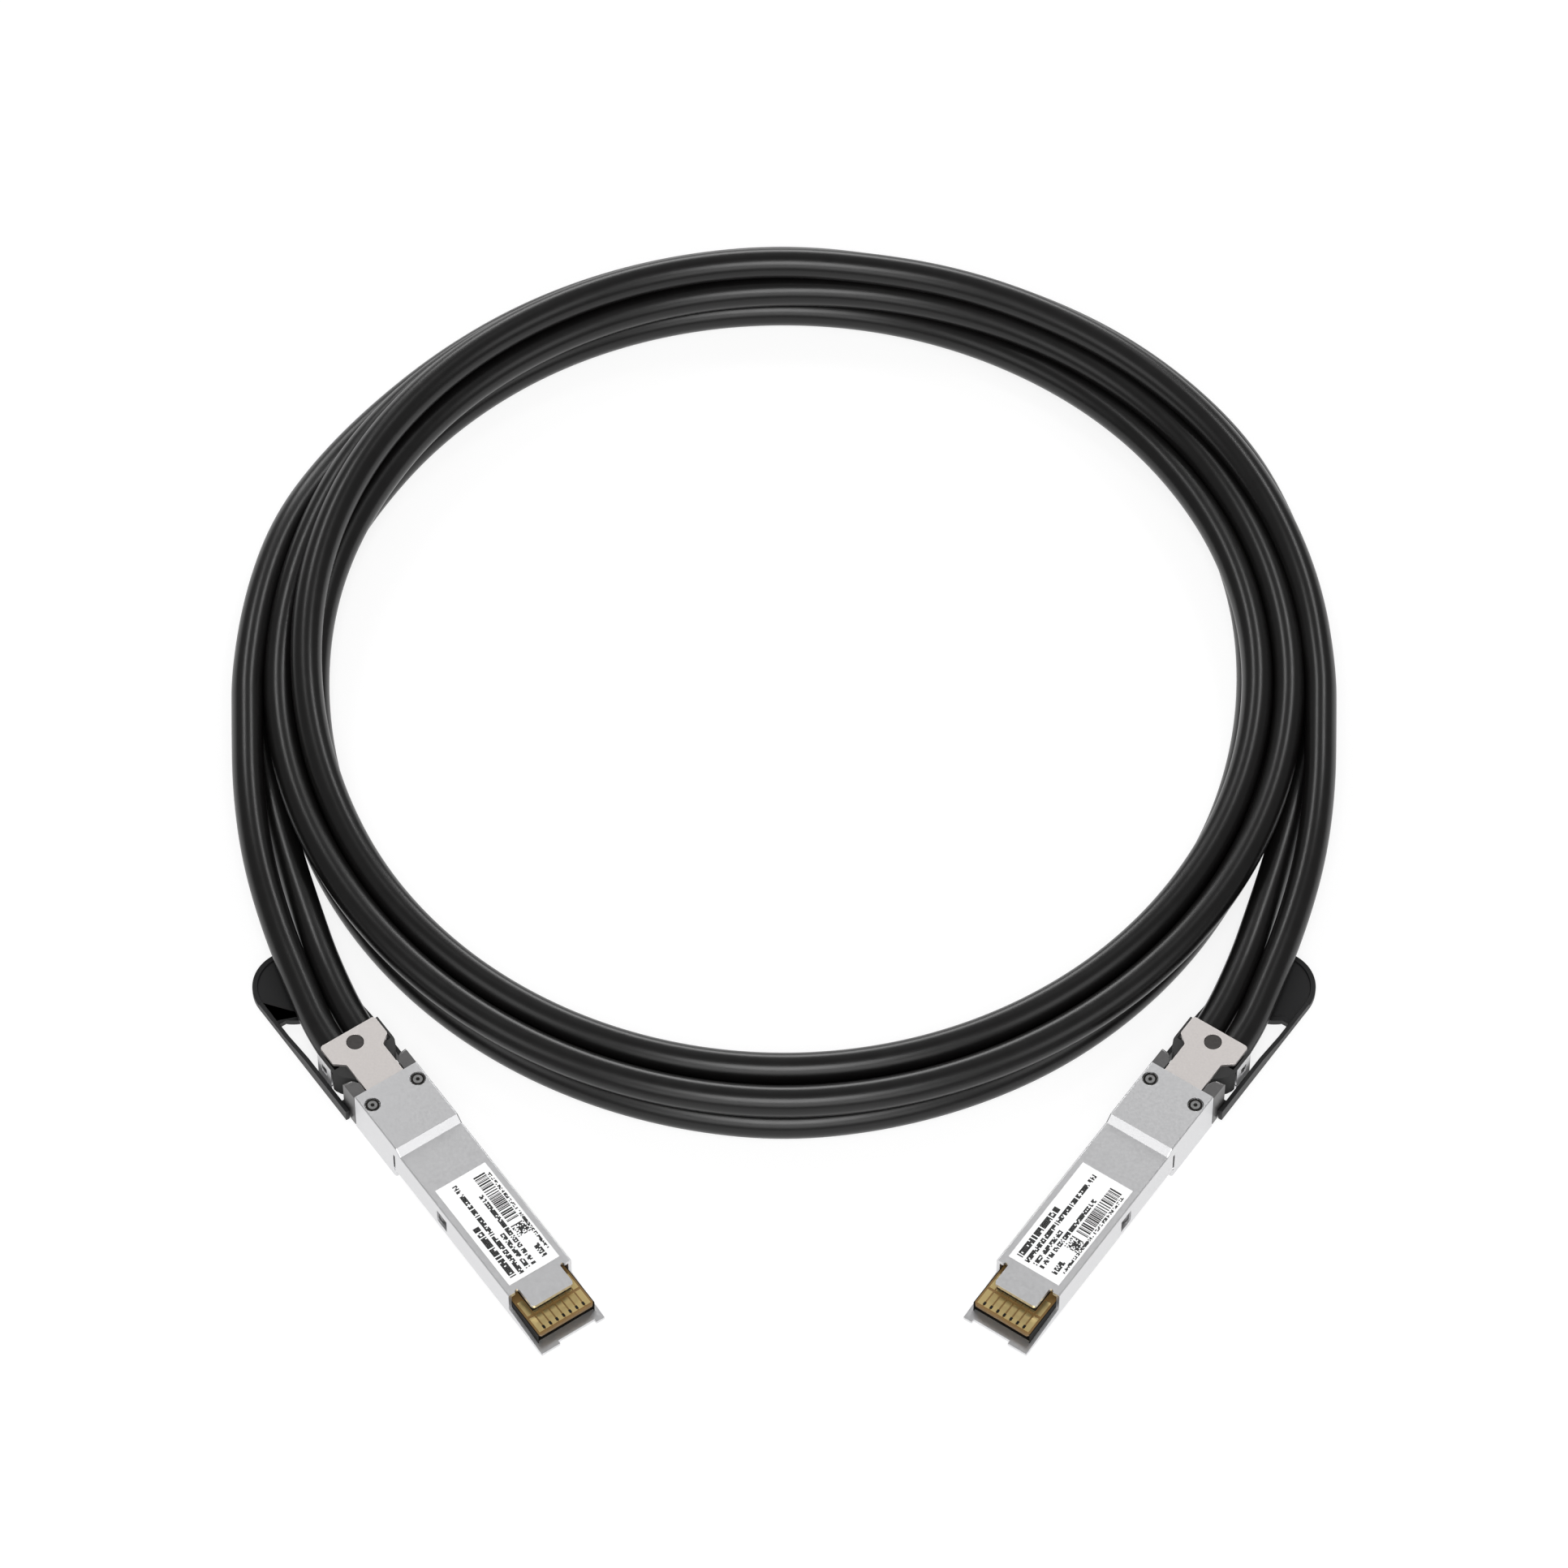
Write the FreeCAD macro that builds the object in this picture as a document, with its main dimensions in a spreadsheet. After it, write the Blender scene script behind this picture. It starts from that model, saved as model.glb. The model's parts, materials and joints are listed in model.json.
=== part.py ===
"""Direct attach copper cable: two double-density pluggable ends joined by a pair of round cables.

Each plug is drawn in its own frame: +X towards its nose, Y across, Z up, with the origin on the
floor under the rear face of its head. The two plugs are then set down as a mirrored pair. The
model's frame has its origin on the floor midway between the plugs, with +X from the left plug
to the right one. All sizes are in millimetres and live in the spreadsheet "dims".
"""
import FreeCAD, Part
import math
import os

import Sketcher

SIZES = {
    # Shell of the plug
    "shell_width": 18.35, "body_height": 8.5, "body_lift": 3.1, "head_height": 13.2,
    "head_length": 18.3, "ramp_length": 1.86, "cover_length": 47.9, "lip_reach": 14.25,
    "parting_height": 7.2, "roof": 1.1, "floor_thickness": 1.0, "nose_wall": 0.9,
    "lip_thickness": 0.8, "side_front_height": 5.6, "edge_round": 0.45, "heel_bevel": 0.9,
    "tongue_width": 12.0, "tongue_reach": 5.9, "tongue_thickness": 1.1, "tongue_round": 1.0,
    "corner_notch_radius": 0.6, "lip_step": 0.9, "lip_outer_lug": 5.4, "lip_inner_lug": 2.4,
    # Rooms inside the shell
    "rear_room_width": 13.2, "door_width": 10.4, "door_depth": 9.0, "rear_room_end": 44.0,
    "channel_inner": 7.75, "channel_outer": 8.55, "channel_low": 4.2, "channel_high": 9.4,
    "window_start": 36.5, "window_length": 4.2, "window_low": 4.65, "window_high": 9.06,
    "slot_start": 17.1, "slot_length": 0.7, "slot_low": 2.6, "slot_high": 9.2,
    "rail_start": 47.0, "rail_length": 16.0, "rail_width": 1.4,
    # Screws
    "screw_inset": 4.3, "screw_spread": 13.3, "screw_head_radius": 1.9, "screw_head_height": 0.75,
    "screw_recess": 0.95, "screw_shank_radius": 0.7, "screw_shank_depth": 8.4,
    "screw_drive_radius": 0.85, "screw_drive_depth": 0.45, "screw_clearance": 0.12,
    # Rear clamp and cradle
    "clamp_top": 12.7, "clamp_thickness": 1.0, "clamp_reach": 17.4, "clamp_width": 16.1,
    "clamp_shoulder": 11.4, "clamp_neck_start": 9.3, "clamp_neck_width": 10.8,
    "clamp_round": 0.9, "clamp_tail": 3.0, "clamp_tail_height": 0.8,
    "rivet_inset": 3.7, "rivet_radius": 2.1, "rivet_height": 0.5, "rivet_sink": 0.15,
    "rivet_shank_radius": 1.1, "rivet_clearance": 0.1,
    "cradle_reach": 17.2, "cradle_length": 6.0, "cradle_width": 17.9, "ear_thickness": 0.45,
    "ear_top": 10.9, "cradle_low": 2.6, "cradle_floor": 0.8, "ear_slot_inset": 1.9,
    "ear_slot_length": 2.2, "ear_slot_low": 5.8, "ear_slot_high": 8.6, "ear_bevel": 1.4,
    "boot_rear": 10.3, "boot_front": 4.8, "boot_front_width": 10.6, "boot_top_gap": 0.1,
    "boot_strip_width": 0.65, "boot_strip_height": 0.65,
    "spring_foot": 1.2, "spring_foot_width": 14.0,
    # Paddle board and wiring
    "board_start": 32.0, "board_neck_width": 12.0, "board_shoulder": 44.6, "board_clearance": 0.275,
    "board_setback": 2.6, "board_bottom": 7.0, "board_thickness": 1.0, "board_chamfer": 0.6,
    "pad_count": 8, "pad_pitch": 1.92, "pad_width": 1.5, "pad_length": 4.6, "pad_row_gap": 0.7,
    "pad_setback": 0.7, "pad_thickness": 0.08,
    "mould_start": 30.0, "mould_end": 43.6, "mould_width": 12.4, "mould_top": 10.3,
    "harness_start": 4.8, "harness_width": 9.6, "harness_top": 10.2, "harness_round": 1.6,
    # Label
    "label_setback": 12.9, "label_length": 32.6, "label_width": 14.6, "label_thickness": 0.12,
    # Release slider and pull tab
    "arm_inner": 7.85, "arm_thickness": 0.6, "arm_low": 4.4, "arm_high": 9.0, "arm_tip": 39.4,
    "arm_tip_low": 37.4, "arm_tip_break": 6.8, "arm_root": 1.6,
    "cheek_inner": 5.7, "cheek_outer": 9.2, "cheek_rear": 5.3, "cheek_gap": 0.2,
    "cheek_top": 12.7, "cheek_round": 0.8,
    "bridge_rear": 7.0, "bridge_front": 2.6, "bridge_low": 0.5, "bridge_height": 1.8,
    "tab_leg_inner": 9.4, "tab_leg_outer": 10.5, "tab_low": 0.6, "tab_leg_height": 2.4,
    "tab_leg_rise": 1.4, "tab_rise_start": 30.0, "tab_rise_end": 21.0,
    "tab_front": 2.4, "tab_window_end": 34.5, "tab_pad_centre": 42.0, "tab_pad_height": 1.4,
    "tab_rim_height": 0.4, "tab_rim_width": 1.3, "tab_peg_start": 4.0, "tab_peg_length": 3.0,
    "tab_peg_height": 1.8,
    # Return springs
    "spring_radius": 0.72, "spring_wire": 0.16, "spring_pitch": 1.1, "spring_spread": 10.0,
    # Cable, coil and the places of the plugs
    "cable_diameter": 8.0, "cable_exit_height": 7.5, "cable_gap": 0.1, "coil_radius": 119.9,
    "outer_pair_offset": 2.05, "outer_pair_angle": 180.0, "crossing_height": 18.96,
    "crossing_low": 5.0, "plug_x": 97.94, "plug_y": 123.73, "plug_yaw": 55.33,
}

# Free stretches of the left pair about the coil's centre, from the clamp to the coil. The first
# two and the last two points of each are worked out from the clamp and from the coil's end face.
LEAD_POINTS = {
    "outer": [(-119.4, -94.0, 7.9), (-126.3, -75.6, 8.6), (-131.7, -56.5, 10.4),
              (-135.0, -36.5, 12.0)],
    "inner": [(-113.2, -86.6, 7.9), (-119.4, -69.0, 7.1), (-126.6, -50.6, 4.6),
              (-132.9, -34.0, 4.02)],
}
FIRST_RUN = {"outer": 11.1, "inner": 10.2}
LAST_RUN = 16.0
SKETCH_GUESS = 20.0  # radius of the circle on which a new sketch's corners start

doc = FreeCAD.newDocument("direct_attach_cable")


def make_sheet():
    """Spreadsheet with one aliased cell for each driving size."""
    sheet = doc.addObject("Spreadsheet::Sheet", "dims")
    for row, (alias, value) in enumerate(SIZES.items(), start=1):
        sheet.set(f"A{row}", alias)
        sheet.set(f"B{row}", str(value))
        sheet.setAlias(f"B{row}", alias)
    doc.recompute()
    return sheet


sheet = make_sheet()


def size(alias):
    """Value of one cell, for the few shapes that are worked out in code."""
    return float(getattr(sheet, alias))


def expr(text):
    """Expression with every size's name pointed at the sheet."""
    words = []
    for word in str(text).replace("(", " ( ").replace(")", " ) ").split():
        sign = "-" if word.startswith("-") and word[1:] in SIZES else ""
        bare = word[1:] if sign else word
        words.append(f"{sign}dims.{bare}" if bare in SIZES else word)
    return " ".join(words)


# Heights and stations that several pieces share
BODY_TOP = "( body_lift + body_height )"
COVER_START = "( head_length + ramp_length )"
COVER_FRONT = "( head_length + ramp_length + cover_length )"
NOSE = "( head_length + ramp_length + cover_length + lip_reach )"
FLOOR_TOP = "( body_lift + floor_thickness )"
ROOF_LOW = f"( {BODY_TOP} - roof )"
HALF = "( shell_width / 2 )"
FRONT_ROOM_HALF = "( shell_width / 2 - nose_wall )"
BOARD_HALF = "( shell_width / 2 - nose_wall - board_clearance )"
CRADLE_TOP = "( cradle_low + cradle_floor )"
CLAMP_LOW = "( clamp_top - clamp_thickness )"
WINDOW_END = "( window_start + window_length )"
SKIN_OUT = "( shell_width / 2 + 1 )"
BOARD_TOP = "( board_bottom + board_thickness )"
BOARD_FRONT = f"( {NOSE} - board_setback )"


# ---------------------------------------------------------------- feature helpers
def new_body(name):
    return doc.addObject("PartDesign::Body", name)


def origin_plane(body, role):
    return next(item for item in body.Origin.OriginFeatures if item.Role == role)


def outline(body, name, role, points, offset="0"):
    """Closed sketch with straight sides whose corners are pairs of expressions."""
    sketch = body.newObject("Sketcher::SketchObject", name)
    sketch.AttachmentSupport = [(origin_plane(body, role), "")]
    sketch.MapMode = "FlatFace"
    sketch.setExpression("AttachmentOffset.Base.z", expr(offset))
    count = len(points)
    start = [(SKETCH_GUESS * math.cos(2 * math.pi * i / count),
              SKETCH_GUESS * math.sin(2 * math.pi * i / count)) for i in range(count)]
    for i in range(count):
        first = FreeCAD.Vector(*start[i], 0)
        second = FreeCAD.Vector(*start[(i + 1) % count], 0)
        sketch.addGeometry(Part.LineSegment(first, second))
    for i in range(count):
        sketch.addConstraint(Sketcher.Constraint("Coincident", i, 2, (i + 1) % count, 1))
    for i, corner in enumerate(points):
        for kind, text, guess in zip(("DistanceX", "DistanceY"), corner, start[i]):
            index = sketch.addConstraint(Sketcher.Constraint(kind, -1, 1, i, 1, guess))
            sketch.setExpression(f"Constraints[{index}]", expr(text))
    return sketch


def pad(body, name, sketch, length, symmetric=False):
    feature = body.newObject("PartDesign::Pad", name)
    feature.Profile = sketch
    feature.SideType = "Symmetric" if symmetric else "One side"
    feature.setExpression("Length", expr(length))
    sketch.Visibility = False
    return feature


def block(body, name, low, high, cut=False):
    """Box feature from its low corner to its high corner, each three expressions."""
    kind = "PartDesign::SubtractiveBox" if cut else "PartDesign::AdditiveBox"
    feature = body.newObject(kind, name)
    for prop, a, b in zip(("Length", "Width", "Height"), low, high):
        feature.setExpression(prop, expr(f"( {b} ) - ( {a} )"))
    for axis, a in zip("xyz", low):
        feature.setExpression(f"Placement.Base.{axis}", expr(a))
    return feature


def block_pair(body, name, low, high, cut=False):
    """The same box on both sides of the plug; the Y values are for the +Y side."""
    block(body, name + "_far", low, high, cut)
    block(body, name + "_near", (low[0], f"0 - ( {high[1]} )", low[2]),
          (high[0], f"0 - ( {low[1]} )", high[2]), cut)


def drum(body, name, centre, radius, low, high, cut=False):
    """Upright cylinder feature."""
    kind = "PartDesign::SubtractiveCylinder" if cut else "PartDesign::AdditiveCylinder"
    feature = body.newObject(kind, name)
    feature.setExpression("Radius", expr(radius))
    feature.setExpression("Height", expr(f"( {high} ) - ( {low} )"))
    for axis, text in zip("xyz", (*centre, low)):
        feature.setExpression(f"Placement.Base.{axis}", expr(text))
    return feature


def dress_edges(body, kind, name, amount, wanted):
    """Fillet or chamfer on the edges of the body's present shape that pass the test."""
    doc.recompute()
    base = body.Tip
    edges = [f"Edge{i}" for i, edge in enumerate(base.Shape.Edges, start=1) if wanted(edge)]
    feature = body.newObject(f"PartDesign::{kind}", name)
    feature.Base = (base, edges)
    feature.setExpression("Radius" if kind == "Fillet" else "Size", expr(amount))
    return feature


def round_edges(body, name, radius, wanted):
    return dress_edges(body, "Fillet", name, radius, wanted)


def upright(edge):
    box = edge.BoundBox
    return box.ZLength > 0.2 and box.XLength < 1e-6 and box.YLength < 1e-6


def box_part(name, low, high):
    """Stand-alone box bound to the sheet."""
    item = doc.addObject("Part::Box", name)
    for prop, a, b in zip(("Length", "Width", "Height"), low, high):
        item.setExpression(prop, expr(f"( {b} ) - ( {a} )"))
    for axis, a in zip("xyz", low):
        item.setExpression(f"Placement.Base.{axis}", expr(a))
    return item


def rod_part(name, centre, radius, low, high):
    """Stand-alone upright cylinder bound to the sheet."""
    item = doc.addObject("Part::Cylinder", name)
    item.setExpression("Radius", expr(radius))
    item.setExpression("Height", expr(f"( {high} ) - ( {low} )"))
    for axis, text in zip("xyz", (*centre, low)):
        item.setExpression(f"Placement.Base.{axis}", expr(text))
    return item


def joined(kind, name, items):
    """Fusion or compound of several items."""
    item = doc.addObject(kind, name)
    if kind == "Part::MultiFuse":
        item.Shapes = items
    else:
        item.Links = items
    return item


def less(name, base, tool):
    item = doc.addObject("Part::Cut", name)
    item.Base = base
    item.Tool = tool
    return item


# ---------------------------------------------------------------- pieces of one plug
def top_cover(name):
    """Die-cast upper shell: head, sloped shoulder, long flat top and front tongue."""
    body = new_body(name)
    profile = outline(body, name + "_profile", "XZ_Plane", [
        ("0", "parting_height"), ("0", "head_height"), ("head_length", "head_height"),
        (COVER_START, BODY_TOP), (COVER_FRONT, BODY_TOP), (COVER_FRONT, "parting_height")])
    pad(body, name + "_shell", profile, "shell_width", symmetric=True)
    half = size("shell_width") / 2
    seam = size("parting_height")
    round_edges(body, name + "_long_edges", "edge_round", lambda edge: (
        edge.BoundBox.YLength < 1e-6 and abs(abs(edge.BoundBox.YMin) - half) < 1e-6
        and edge.BoundBox.XLength > 0.1 and edge.BoundBox.ZMin > seam + 0.1))
    block(body, name + "_tongue",
          (f"{COVER_FRONT} - 2 * roof", "-tongue_width / 2", f"{BODY_TOP} - tongue_thickness"),
          (f"{COVER_FRONT} + tongue_reach", "tongue_width / 2", BODY_TOP))
    tip = size("head_length") + size("ramp_length") + size("cover_length") + size("tongue_reach")
    round_edges(body, name + "_tongue_corners", "tongue_round", lambda edge: (
        upright(edge) and abs(edge.BoundBox.XMin - tip) < 1e-6))
    below = "parting_height - 1"
    block(body, name + "_front_room", (WINDOW_END + " + 1.5", f"0 - {FRONT_ROOM_HALF}", below),
          (f"{COVER_FRONT} + 1", FRONT_ROOM_HALF, ROOF_LOW), cut=True)
    block(body, name + "_rear_room", ("door_depth", "-rear_room_width / 2", below),
          ("rear_room_end", "rear_room_width / 2", ROOF_LOW), cut=True)
    block(body, name + "_door", ("-1", "-door_width / 2", below),
          ("door_depth", "door_width / 2", f"{CLAMP_LOW} + rivet_clearance"), cut=True)
    shell_side_cuts(body, name, below, "channel_high", below, "window_high", below, "slot_high")
    for tag, side in (("far", "screw_spread / 2"), ("near", "-screw_spread / 2")):
        drum(body, f"{name}_recess_{tag}", ("screw_inset", side),
             "screw_head_radius + screw_clearance", "head_height - screw_recess",
             "head_height + 1", cut=True)
        drum(body, f"{name}_screw_hole_{tag}", ("screw_inset", side),
             "screw_shank_radius + screw_clearance", below, "head_height", cut=True)
        notch_side = "( tongue_width / 2 + corner_notch_radius )"
        notch_side = notch_side if tag == "far" else f"0 - {notch_side}"
        drum(body, f"{name}_notch_{tag}", (COVER_FRONT, notch_side), "corner_notch_radius",
             "parting_height", f"{BODY_TOP} + 1", cut=True)
    return body


def shell_side_cuts(body, name, channel_low, channel_high, window_low, window_high,
                    slot_low, slot_high):
    """Arm channels, latch windows and side slots, cut alike in both halves of the shell."""
    block_pair(body, name + "_channel", ("-1", "channel_inner", channel_low),
               (WINDOW_END, "channel_outer", channel_high), cut=True)
    block_pair(body, name + "_window", ("window_start", "channel_outer - 0.1", window_low),
               (WINDOW_END, SKIN_OUT, window_high), cut=True)
    block_pair(body, name + "_slot", ("slot_start", "channel_outer - 0.1", slot_low),
               ("slot_start + slot_length", SKIN_OUT, slot_high), cut=True)


def bottom_housing(name, hand):
    """Die-cast lower shell with the open nose, the board rails and the cable cradle."""
    body = new_body(name)
    profile = outline(body, name + "_profile", "XZ_Plane", [
        ("0", "0"), ("head_length - heel_bevel", "0"), ("head_length", "heel_bevel"),
        ("head_length", "body_lift"), (NOSE, "body_lift"), (NOSE, "body_lift + lip_thickness"),
        (COVER_FRONT, "side_front_height"), (COVER_FRONT, "parting_height"),
        ("0", "parting_height")])
    pad(body, name + "_shell", profile, "shell_width", symmetric=True)
    above = "parting_height + 1"
    block(body, name + "_front_room",
          (WINDOW_END + " + 1.5", f"0 - {FRONT_ROOM_HALF}", FLOOR_TOP),
          (f"{NOSE} + 1", FRONT_ROOM_HALF, above), cut=True)
    block(body, name + "_rear_room", ("door_depth", "-rear_room_width / 2", FLOOR_TOP),
          ("rear_room_end", "rear_room_width / 2", above), cut=True)
    block(body, name + "_door", ("-1", "-door_width / 2", FLOOR_TOP),
          ("door_depth", "door_width / 2", above), cut=True)
    shell_side_cuts(body, name, "channel_low", above, "window_low", above, "slot_low", above)
    for tag, side in (("far", "screw_spread / 2"), ("near", "-screw_spread / 2")):
        drum(body, f"{name}_screw_hole_{tag}", ("screw_inset", side),
             "screw_shank_radius + screw_clearance",
             "head_height - screw_recess - screw_shank_depth - 0.5", above, cut=True)
    lip_limits = [f"{HALF} - lip_outer_lug", f"{HALF} - lip_inner_lug"]
    lip_low, lip_high = (f"0 - ( {lip_limits[1]} )", lip_limits[0]) if hand > 0 else (
        f"0 - ( {lip_limits[0]} )", lip_limits[1])
    block(body, name + "_lip_step", (f"{NOSE} - lip_step", lip_low, "body_lift - 1"),
          (f"{NOSE} + 1", lip_high, FLOOR_TOP + " + 1"), cut=True)
    block_pair(body, name + "_rail", ("rail_start", f"{FRONT_ROOM_HALF} - rail_width", FLOOR_TOP),
               ("rail_start + rail_length", FRONT_ROOM_HALF, "board_bottom"))
    cradle_front = "0 - ( cradle_reach - cradle_length )"
    block(body, name + "_cradle", ("-cradle_reach", "-cradle_width / 2", "cradle_low"),
          (cradle_front, "cradle_width / 2", CRADLE_TOP))
    block(body, name + "_cradle_neck", (cradle_front, "-door_width / 2", "cradle_low"),
          ("0", "door_width / 2", CRADLE_TOP))
    ear = [("-cradle_reach", "cradle_low"), (cradle_front + " - ear_bevel", "cradle_low"),
           (cradle_front, "cradle_low + ear_bevel"), (cradle_front, "ear_top"),
           ("-cradle_reach", "ear_top")]
    for tag, offset in (("near", "cradle_width / 2 - ear_thickness"), ("far", "-cradle_width / 2")):
        ear_side = outline(body, f"{name}_ear_{tag}_side", "XZ_Plane", ear, offset)
        pad(body, f"{name}_ear_{tag}", ear_side, "ear_thickness")
    block_pair(body, name + "_ear_slot",
               ("0 - cradle_reach + ear_slot_inset", "cradle_width / 2 - ear_thickness - 0.1",
                "ear_slot_low"),
               ("0 - cradle_reach + ear_slot_inset + ear_slot_length", "cradle_width / 2 + 1",
                "ear_slot_high"), cut=True)
    block(body, name + "_spring_foot", ("-cradle_reach", "-spring_foot_width / 2", "bridge_low"),
          ("0 - cradle_reach + spring_foot", "spring_foot_width / 2", "cradle_low"))
    return body


def upper_clamp(name):
    """Flat rear tongue that holds the two cables down, with a waist and a seat for its rivet."""
    body = new_body(name)
    rear, shoulder, neck = "-clamp_reach", "-clamp_shoulder", "-clamp_neck_start"
    wide, narrow = "clamp_width / 2", "clamp_neck_width / 2"
    profile = outline(body, name + "_profile", "XY_Plane", [
        (rear, "-clamp_width / 2"), (shoulder, "-clamp_width / 2"),
        (neck, "-clamp_neck_width / 2"), ("0", "-clamp_neck_width / 2"), ("0", narrow),
        (neck, narrow), (shoulder, wide), (rear, wide)], offset=CLAMP_LOW)
    pad(body, name + "_plate", profile, "clamp_thickness")
    round_edges(body, name + "_corners", "clamp_round",
                lambda edge: upright(edge) and edge.BoundBox.XMin < -1)
    block(body, name + "_tail", ("-clamp_tail", "-harness_width / 2", f"{CLAMP_LOW} - clamp_tail_height"),
          ("clamp_tail", "harness_width / 2", CLAMP_LOW))
    centre = ("0 - clamp_reach + rivet_inset", "0")
    drum(body, name + "_rivet_seat", centre, "rivet_radius + rivet_clearance",
         "clamp_top - rivet_sink - rivet_height", "clamp_top + 1", cut=True)
    drum(body, name + "_rivet_hole", centre, "rivet_shank_radius + rivet_clearance",
         f"{CLAMP_LOW} - 1", "clamp_top", cut=True)
    return body


def cable_boot(name):
    """Moulded boot on the cables' ends: round shoulders in front, a strip along each ear."""
    body = new_body(name)
    half = "cradle_width / 2"
    front = "boot_front_width / 2"
    side = [("-boot_rear", half), ("0 - boot_rear + 0.8", f"{half} - 0.1"),
            ("0 - boot_front - 3.4", f"{half} - 0.7"), ("0 - boot_front - 2.2", f"{half} - 1.6"),
            ("0 - boot_front - 1.1", f"{half} - 2.6"), ("-boot_front", front)]
    outline_points = side + [(a, f"0 - ( {b} )") for a, b in reversed(side)]
    plan = outline(body, name + "_plan", "XY_Plane", outline_points, offset=CRADLE_TOP)
    top = f"{CLAMP_LOW} - boot_top_gap"
    pad(body, name + "_block", plan, f"{top} - {CRADLE_TOP}")
    block_pair(body, name + "_strip",
               ("-clamp_reach", f"{half} - boot_strip_width", f"{top} - boot_strip_height"),
               ("0 - boot_rear + 0.2", half, top))
    return body


def clamp_rivet(name):
    centre = ("0 - clamp_reach + rivet_inset", "0")
    seat = "clamp_top - rivet_sink - rivet_height"
    head = rod_part(name + "_head", centre, "rivet_radius", seat, "clamp_top - rivet_sink")
    shank = rod_part(name + "_shank", centre, "rivet_shank_radius", CLAMP_LOW, seat)
    return joined("Part::MultiFuse", name, [head, shank])


def cover_screws(name):
    """The two cover screws, each with a six-sided drive recess."""
    screws = []
    seat = "head_height - screw_recess"
    for tag, side in (("far", "screw_spread / 2"), ("near", "-screw_spread / 2")):
        centre = ("screw_inset", side)
        head = rod_part(f"{name}_{tag}_head", centre, "screw_head_radius", seat,
                        f"{seat} + screw_head_height")
        shank = rod_part(f"{name}_{tag}_shank", centre, "screw_shank_radius",
                         f"{seat} - screw_shank_depth", seat)
        screw = joined("Part::MultiFuse", f"{name}_{tag}_blank", [head, shank])
        drive = doc.addObject("Part::Prism", f"{name}_{tag}_drive")
        drive.Polygon = 6
        drive.setExpression("Circumradius", expr("screw_drive_radius"))
        drive.setExpression("Height", expr("screw_drive_depth + 1"))
        drive_low = f"{seat} + screw_head_height - screw_drive_depth"
        for axis, text in zip("xyz", (*centre, drive_low)):
            drive.setExpression(f"Placement.Base.{axis}", expr(text))
        screws.append(less(f"{name}_{tag}", screw, drive))
    return joined("Part::Compound", name, screws)


def paddle_board(name):
    """Circuit board: narrow where the wires join, wide at the contact edge."""
    body = new_body(name)
    neck = "board_neck_width / 2"
    profile = outline(body, name + "_profile", "XY_Plane", [
        ("board_start", "-board_neck_width / 2"), ("board_shoulder", "-board_neck_width / 2"),
        ("board_shoulder", f"0 - {BOARD_HALF}"), (BOARD_FRONT, f"0 - {BOARD_HALF}"),
        (BOARD_FRONT, BOARD_HALF), ("board_shoulder", BOARD_HALF), ("board_shoulder", neck),
        ("board_start", neck)], offset="board_bottom")
    pad(body, name + "_plate", profile, "board_thickness")
    front = size("head_length") + size("ramp_length") + size("cover_length")
    front += size("lip_reach") - size("board_setback")
    dress_edges(body, "Chamfer", name + "_corners", "board_chamfer", lambda edge: (
        upright(edge) and abs(edge.BoundBox.XMin - front) < 1e-6))
    return body


def contact_pads(name):
    """Two rows of gold pads on each face of the board's front edge."""
    pads = []
    faces = (("top", BOARD_TOP, f"{BOARD_TOP} + pad_thickness"),
             ("under", "board_bottom - pad_thickness", "board_bottom"))
    for face, low, high in faces:
        for row in range(2):
            front = f"{BOARD_FRONT} - pad_setback - {row} * ( pad_length + pad_row_gap )"
            for i in range(int(size("pad_count"))):
                side = f"( {i} - ( pad_count - 1 ) / 2 ) * pad_pitch"
                pads.append(box_part(f"{name}_{face}_{row}_{i}",
                                     (f"{front} - pad_length", f"{side} - pad_width / 2", low),
                                     (front, f"{side} + pad_width / 2", high)))
    return joined("Part::Compound", name, pads)


def termination_mould(name):
    """Moulding over the soldered wire ends, open in front for the board's narrow end."""
    block_of_resin = box_part(name + "_block", ("mould_start", "-mould_width / 2", FLOOR_TOP),
                              ("mould_end", "mould_width / 2", "mould_top"))
    seat = box_part(name + "_seat", ("board_start", "-board_neck_width / 2", "board_bottom"),
                    ("mould_end + 1", "board_neck_width / 2", BOARD_TOP))
    return less(name, block_of_resin, seat)


def wire_harness(name):
    """Bundle of inner wires in its sleeve, from the cable ends to the moulding."""
    body = new_body(name)
    block(body, name + "_sleeve", ("-harness_start", "-harness_width / 2", FLOOR_TOP),
          ("mould_start", "harness_width / 2", "harness_top"))
    round_edges(body, name + "_rounding", "harness_round", lambda edge: (
        edge.BoundBox.XLength > 1 and edge.BoundBox.YLength < 1e-6))
    return body


def label(name):
    body = new_body(name)
    start = f"{COVER_START} + label_setback"
    block(body, name + "_sheet", (start, "-label_width / 2", BODY_TOP),
          (f"{start} + label_length", "label_width / 2", f"{BODY_TOP} + label_thickness"))
    return body


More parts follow.
